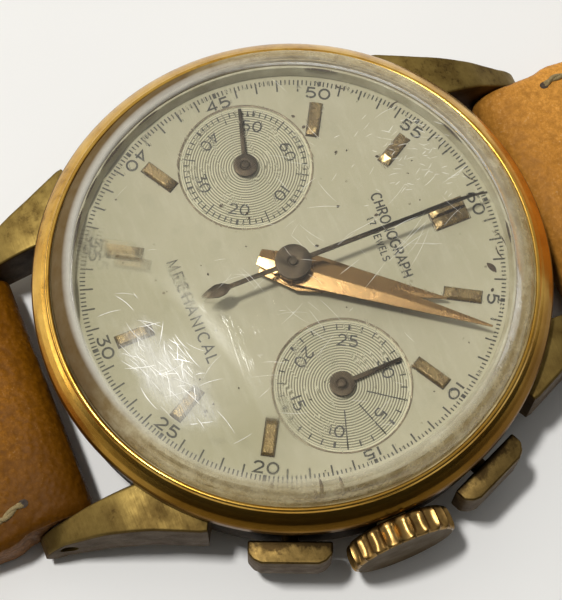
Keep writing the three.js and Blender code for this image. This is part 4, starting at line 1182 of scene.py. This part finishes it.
def strap_ring(rows, reach):
    half, low, high = blend_points(rows, reach)
    thick = high - low
    soft = min(0.35, thick * 0.3)
    shoulder = min(0.42, thick * 0.22)
    ring = []
    for i in range(UNDER_STEPS + 1):
        x = -half + soft + (2 * half - 2 * soft) * i / UNDER_STEPS
        ring.append((x, low))
    edge_top = strap_top(rows, reach, half) - shoulder
    for i in range(EDGE_STEPS + 1):
        t = i / EDGE_STEPS
        z = low + soft + (edge_top - low - soft) * t
        ring.append((half + 0.02 * math.sin(math.pi * t), z))
    for i in range(TOP_STEPS + 1):
        t = i / TOP_STEPS
        a = math.pi * t
        x = half * math.cos(a)
        u = abs(x) / half
        z = strap_top(rows, reach, x) - shoulder * max(0.0, (u - 0.93) / 0.07) ** 2
        ring.append((x, z))
    for i in range(EDGE_STEPS + 1):
        t = 1 - i / EDGE_STEPS
        z = low + soft + (edge_top - low - soft) * t
        ring.append((-half - 0.02 * math.sin(math.pi * t), z))
    return ring


def strap_half(name, rows, last, sign, top_leather):
    """One strap half: lofted sections with an uneven hand-made top, in top, edge and lining leathers."""
    stations = [-2.7, -2.68, -2.64, -2.58, -2.5, -2.4, -2.25, -2.1, -1.9, -1.7, -1.45, -1.2, -0.9, -0.6, -0.3,
                0]
    reach = 0.0
    while reach < last - 3.05:
        reach += 0.62
        stations.append(reach)
    tail = [last - 3, last - 2.5, last - 2, last - 1.5, last - 1.1, last - 0.8, last - 0.5, last - 0.3,
            last - 0.15, last]
    stations += [r for r in tail if r > reach + 0.1]
    rings = []
    for r in stations:
        ring = []
        for x, z in strap_ring(rows, r):
            ring.append((x, sign * (BAR_Y + r), z))
        rings.append(ring)
    body = loft(name, rings)
    for v in body.data.vertices:
        p = v.co / MM
        q = Vector((p.x, p.y, p.z * 1.5))
        wave = noise.noise(q * 0.55) * 0.03 + noise.noise(q * 1.7) * 0.018
        if p.z > 1.8:
            v.co.z += min(0.0, wave - 0.02) * MM
    for m in (top_leather, edge_leather, lining_leather):
        body.data.materials.append(m)
    for face in body.data.polygons:
        c, n = face.center / MM, face.normal
        reach_here = sign * c.y - BAR_Y
        half, low, high = blend_points(rows, min(max(reach_here, -2.7), last))
        if n.z < -0.75 and reach_here > -1.6:
            face.material_index = 2
        elif abs(n.x) > 0.8 and c.z < high - 0.75:
            face.material_index = 1
    return body


BUCKLE_Y = BAR_Y + 75
buckle_side = strap_half("strap_top_half", BUCKLE_ROWS, 76.7, 1, tan_leather)
hole_side = strap_half("strap_long_half", HOLE_ROWS, 115, -1, dark_tan_leather)
for half, y in ((buckle_side, BAR_Y), (hole_side, -BAR_Y), (buckle_side, BUCKLE_Y)):
    cut(half, rod("tunnel", (-12, y, BAR_Z), (12, y, BAR_Z), 0.94))
cut(buckle_side, prism("slot", box_outline(-1.68, BUCKLE_Y - 5, 1.68, BUCKLE_Y + 3), -1, 6))
for i in range(7):
    y = -(BAR_Y + 62 + 6.5 * i)
    cut(hole_side, rod("punch", (0, y, -1), (0, y, 6), 0.84, 28))
smooth(buckle_side, 42)
smooth(hole_side, 42)
wear(buckle_side, "strap_12", "leather", replaces=("strap_buckle_side",))
wear(hole_side, "strap_6", "leather", replaces=("strap_hole_side",))

# ---- stitches


def tube(points, radius, sides=7):
    """Rings of a round tube along points, tapering at its ends."""
    rings = []
    count = len(points)
    for i, p in enumerate(points):
        p = Vector(p)
        a, b = Vector(points[max(i - 1, 0)]), Vector(points[min(i + 1, count - 1)])
        turn = (b - a).to_track_quat("Z", "Y")
        r = radius * (0.55 if i in (0, count - 1) else 1.0)
        rings.append([tuple(p + turn @ Vector((x, y, 0))) for x, y in circle(0, 0, r, sides)])
    return rings


def stitches(name, rows, first, last, sign, seed, inset):
    """Two rows of saddle stitches in two-ply linen, with dark discs that paint the shade in the holes they go
    down.
    """
    rng = random.Random(seed)
    verts, faces, hole_verts, hole_faces = [], [], [], []
    pitch, length = 3.5, 2.75
    count = int((last - first) / pitch)
    for side in (-1, 1):
        for i in range(count + 1):
            start = first + pitch * i
            lean = rng.uniform(-0.05, 0.05)
            lift = rng.uniform(0.1, 0.17)
            path = []
            steps = 16
            for k in range(steps + 1):
                t = k / steps
                reach = start + length * t
                half = blend_points(rows, reach)[0]
                x = side * (half - inset) + lean * (t - 0.5) * 2
                rise = lift * min(1.0, math.sin(math.pi * t) * 2.2) - 0.12
                path.append((x, reach, strap_top(rows, reach, x) + rise))
            for ply in (0, 1):
                line = []
                for k, (x, reach, z) in enumerate(path):
                    a = TAU * (k / steps * 1.2) + math.pi * ply + 0.7 * i
                    line.append((x + 0.12 * math.cos(a), sign * (BAR_Y + reach), z + 0.05 * math.sin(a)))
                add_rings(verts, faces, tube(line, 0.17))
            for x, reach, _ in (path[0], path[-1]):
                rim = [(x + 0.85 * u, reach + v) for u, v in circle(0, 0, 0.36, 14)]
                add_rings(hole_verts, hole_faces,
                          [[(u, sign * (BAR_Y + v), strap_top(rows, v, u) + lift) for u, v in rim]
                           for lift in (-0.12, 0.012)])
    return make(name, verts, faces), make(name + "_holes", hole_verts, hole_faces)


for rows, first, last, sign, body, name, inset in ((BUCKLE_ROWS, 2.6, 70, 1, "strap_12", "short", 1.4),
                                                   (HOLE_ROWS, 1.8, 106, -1, "strap_6", "long", 1.9)):
    sewn, hole_shade = stitches(f"{name}_stitches", rows, first, last, sign, 7 + sign, inset)
    wear(smooth(sewn, 60), body, "leather", thread)
    wear(hole_shade, body, "leather", grime_and_shade)

# ---- keepers, buckle, tang


def keeper_band(name, half, height, y, length):
    """A folded leather loop with rounded corners and softened edges."""
    wall, low = 0.85, 0.9
    outer = section(-half - wall, 0.02, half + wall, height - 0.02, 0.95, 6)
    inner = section(-half, low, half, height - wall, 0.5, 6)
    verts, faces = [], []
    count = len(outer)
    for at in (0.0, length):
        verts += [(x, y + at, z) for x, z in outer] + [(x, y + at, z) for x, z in inner]
    for k, m in pairs(count):
        for a, b in ((0, 1), (2, 3), (0, 2), (1, 3)):
            a, b = a * count, b * count
            faces.append((a + k, a + m, b + m, b + k))
    loop = make(name, verts, faces)
    bevel(loop, 0.16, 4, 40)
    return smooth(applied(loop), 40)


for name, half, height, reach, body, node in (("sewn_keeper", 8.2, 7.4, 64, "strap_12", "keeper_fixed"),
                                              ("sliding_keeper", 8.5, 7.6, 54, "keeper_free", "keeper_free")):
    wear(keeper_band(name, half, height, BAR_Y + reach, 5), body, "leather", tan_leather, replaces=(node,))

FRAME_SIDE = [(-1.4, 1.95, 2.85), (-0.9, 1.25, 3.55), (0.0, 1.0, 3.85), (1.5, 0.86, 3.7), (6.0, 0.35, 2.58),
              (10.0, 0.12, 2.3),
              (10.8, 0.1, 2.22), (11.5, 0.62, 1.68)]


def buckle_sections():
    """Rounded sections swept round the U of the buckle: (centre x, y, outward direction, half width)."""
    path = []
    steps = 18
    for i in range(steps + 1):
        t = i / steps
        y = -1.38 + 8.0 * t
        outer = 10.6 + 0.6 * (y + 1.4) / 11.0
        inner = 8.7 + 0.2 * (y + 1.4) / 10.1
        path.append(((outer + inner) / 2, y, 0.0, (outer - inner) / 2 - 0.01))
    for i in range(1, 13):
        a = math.radians(90 * i / 12)
        start_y = 6.62
        cx, cy = 7.4, start_y
        path.append((cx + (10.07 - 7.4) * math.cos(a), cy + (10.12 - start_y) * math.sin(a), a,
                     1.1 + 0.28 * math.sin(a)))
    mirrored = [(-x, y, math.pi - a, w) for x, y, a, w in reversed(path)]
    return path + mirrored


def buckle_ring(x, y, a, half_width):
    low_y = max(-1.4, min(11.5, y))
    low, high = blend_points(FRAME_SIDE, low_y)
    ring = section(-half_width, low, half_width, high, min(0.55, half_width * 0.5, (high - low) * 0.35), 6)
    return [(x + w * math.cos(a), BUCKLE_Y + y + w * math.sin(a), z) for w, z in ring]


frame_loop = loft("buckle_loop", [buckle_ring(*row) for row in buckle_sections()])
frame_loop = cut(frame_loop, rod("eye", (-12, BUCKLE_Y, BAR_Z), (12, BUCKLE_Y, BAR_Z), 0.81))
smooth(frame_loop, 40)
wear(frame_loop, "buckle", "bright_gold", buckle_gold, replaces=("buckle_frame",))
pin = axle("buckle_pin", [(0, -10.3), (0.74, -10.3), (0.74, 10.3), (0, 10.3)], 0.12, 3, 32, 0, BUCKLE_Y,
           BAR_Z)
wear(smooth(pin, 30), "buckle", "steel", steel, replaces=("buckle_bar",))

TANG_ROWS = [(0.3, 0.98, 2.05, 3.6), (1.0, 0.98, 1.95, 3.62), (3, 0.95, 2.12, 3.38), (6, 0.88, 2.27, 3.3),
             (8.5, 0.8, 2.42, 3.22),
             (11.2, 0.66, 2.42, 3.14), (12.2, 0.5, 2.5, 3.08), (12.55, 0.3, 2.62, 2.92)]
rings = []
for i in range(40):
    reach = 0.3 + (12.55 - 0.3) * i / 39
    half, low, high = blend_points(TANG_ROWS, reach)
    ring = section(-half, low, half, high, min(0.45, half * 0.6, (high - low) * 0.45), 5)
    rings.append([(x, BUCKLE_Y + reach, z) for x, z in ring])
tongue = loft("tang_tongue", rings)
eye = axle("tang_eye", box_outline(0.85, -1.28, 1.43, 1.28), 0.18, 4, 48, 0, BUCKLE_Y, BAR_Z, closed=True)
tongue = cut(tongue, rod("eye_bore", (-3, BUCKLE_Y, BAR_Z), (3, BUCKLE_Y, BAR_Z), 0.85))
tang = smooth(joined("tang_pin", [tongue, eye]), 40)
wear(tang, "tang", "bright_gold", buckle_gold, replaces=("buckle_tang",))

# ---- camera, floor and lights

scene = bpy.context.scene
scene.camera = camera = add_object("camera", bpy.data.cameras.new("camera"))
camera.data.lens, camera.data.sensor_width = 103.49, 36
camera.data.clip_start, camera.data.clip_end = 0.01, 20
right, up, back_axis = ((0.38223535, 0.92401728, 0.00939195), (-0.87039531, 0.35660316, 0.33947928),
                        (0.31033552, -0.13793569, 0.94056664))
camera.matrix_world = Matrix([[right[i], up[i], back_axis[i],
                               (39.12, -18.245, 122.087)[i] * MM] for i in range(3)]
                             + [[0, 0, 0, 1]])


def sheet(name, corners, grain, dark, pale, rough):
    """A flat sheet of the studio, with its corners in metres."""
    mesh = bpy.data.meshes.new(name)
    mesh.from_pydata(corners, [], [(0, 1, 2, 3)])
    mesh.materials.append(stained(f"{name}_sheet", (grain,), ((0.3, dark), (0.7, pale)), rough))
    obj = add_object(name, mesh)
    return obj


floor = sheet("floor", [(x, y, 0) for x, y in box_outline(-3, -3, 3, 3)], 40.0, (0.87, 0.87, 0.865),
              (0.9, 0.9, 0.895), 0.8)
floor.location = (0, 0, -0.0002)
flag = sheet("dark_flag", [(0.11, y, z) for y, z in box_outline(-0.3, 0.0, 0.3, 0.14)], 20.0, 0.012, 0.02,
             0.9)
flag.visible_camera = flag.visible_diffuse = flag.visible_shadow = flag.visible_transmission = False


def lamp(name, place, size, power, colour):
    """A rectangular lamp aimed at the watch."""
    data = bpy.data.lights.new(name, "AREA")
    data.shape = "RECTANGLE"
    data.size, data.size_y = size
    data.energy, data.color = power, colour
    obj = add_object(name, data)
    obj.location = place
    obj.rotation_euler = (-Vector(place)).to_track_quat("-Z", "Y").to_euler()


lamp("key", (-0.091, -0.144, 0.6), (0.075, 0.05), 2.6, (1.0, 0.985, 0.95))
lamp("left_softbox", (-0.3, -0.53, 0.13), (0.42, 0.16), 0.85, (1.0, 0.95, 0.86))

scene.world = world = bpy.data.worlds.new("studio")
world.use_nodes = True
sky = world.node_tree
towards = add_node(sky, "ShaderNodeTexCoord", {}, "Generated")
lean = add_node(sky, "ShaderNodeVectorMath", {0: towards, 1: (-0.40, 0.13, 0.0)}, "Value",
                operation="DOT_PRODUCT")
feed(sky, sky.nodes["Background"].inputs["Strength"], (lean + 0.3).most(0.012))
feed(sky, sky.nodes["Background"].inputs["Color"], (1.0, 0.98, 0.93))
scene.view_settings.view_transform = "Standard"
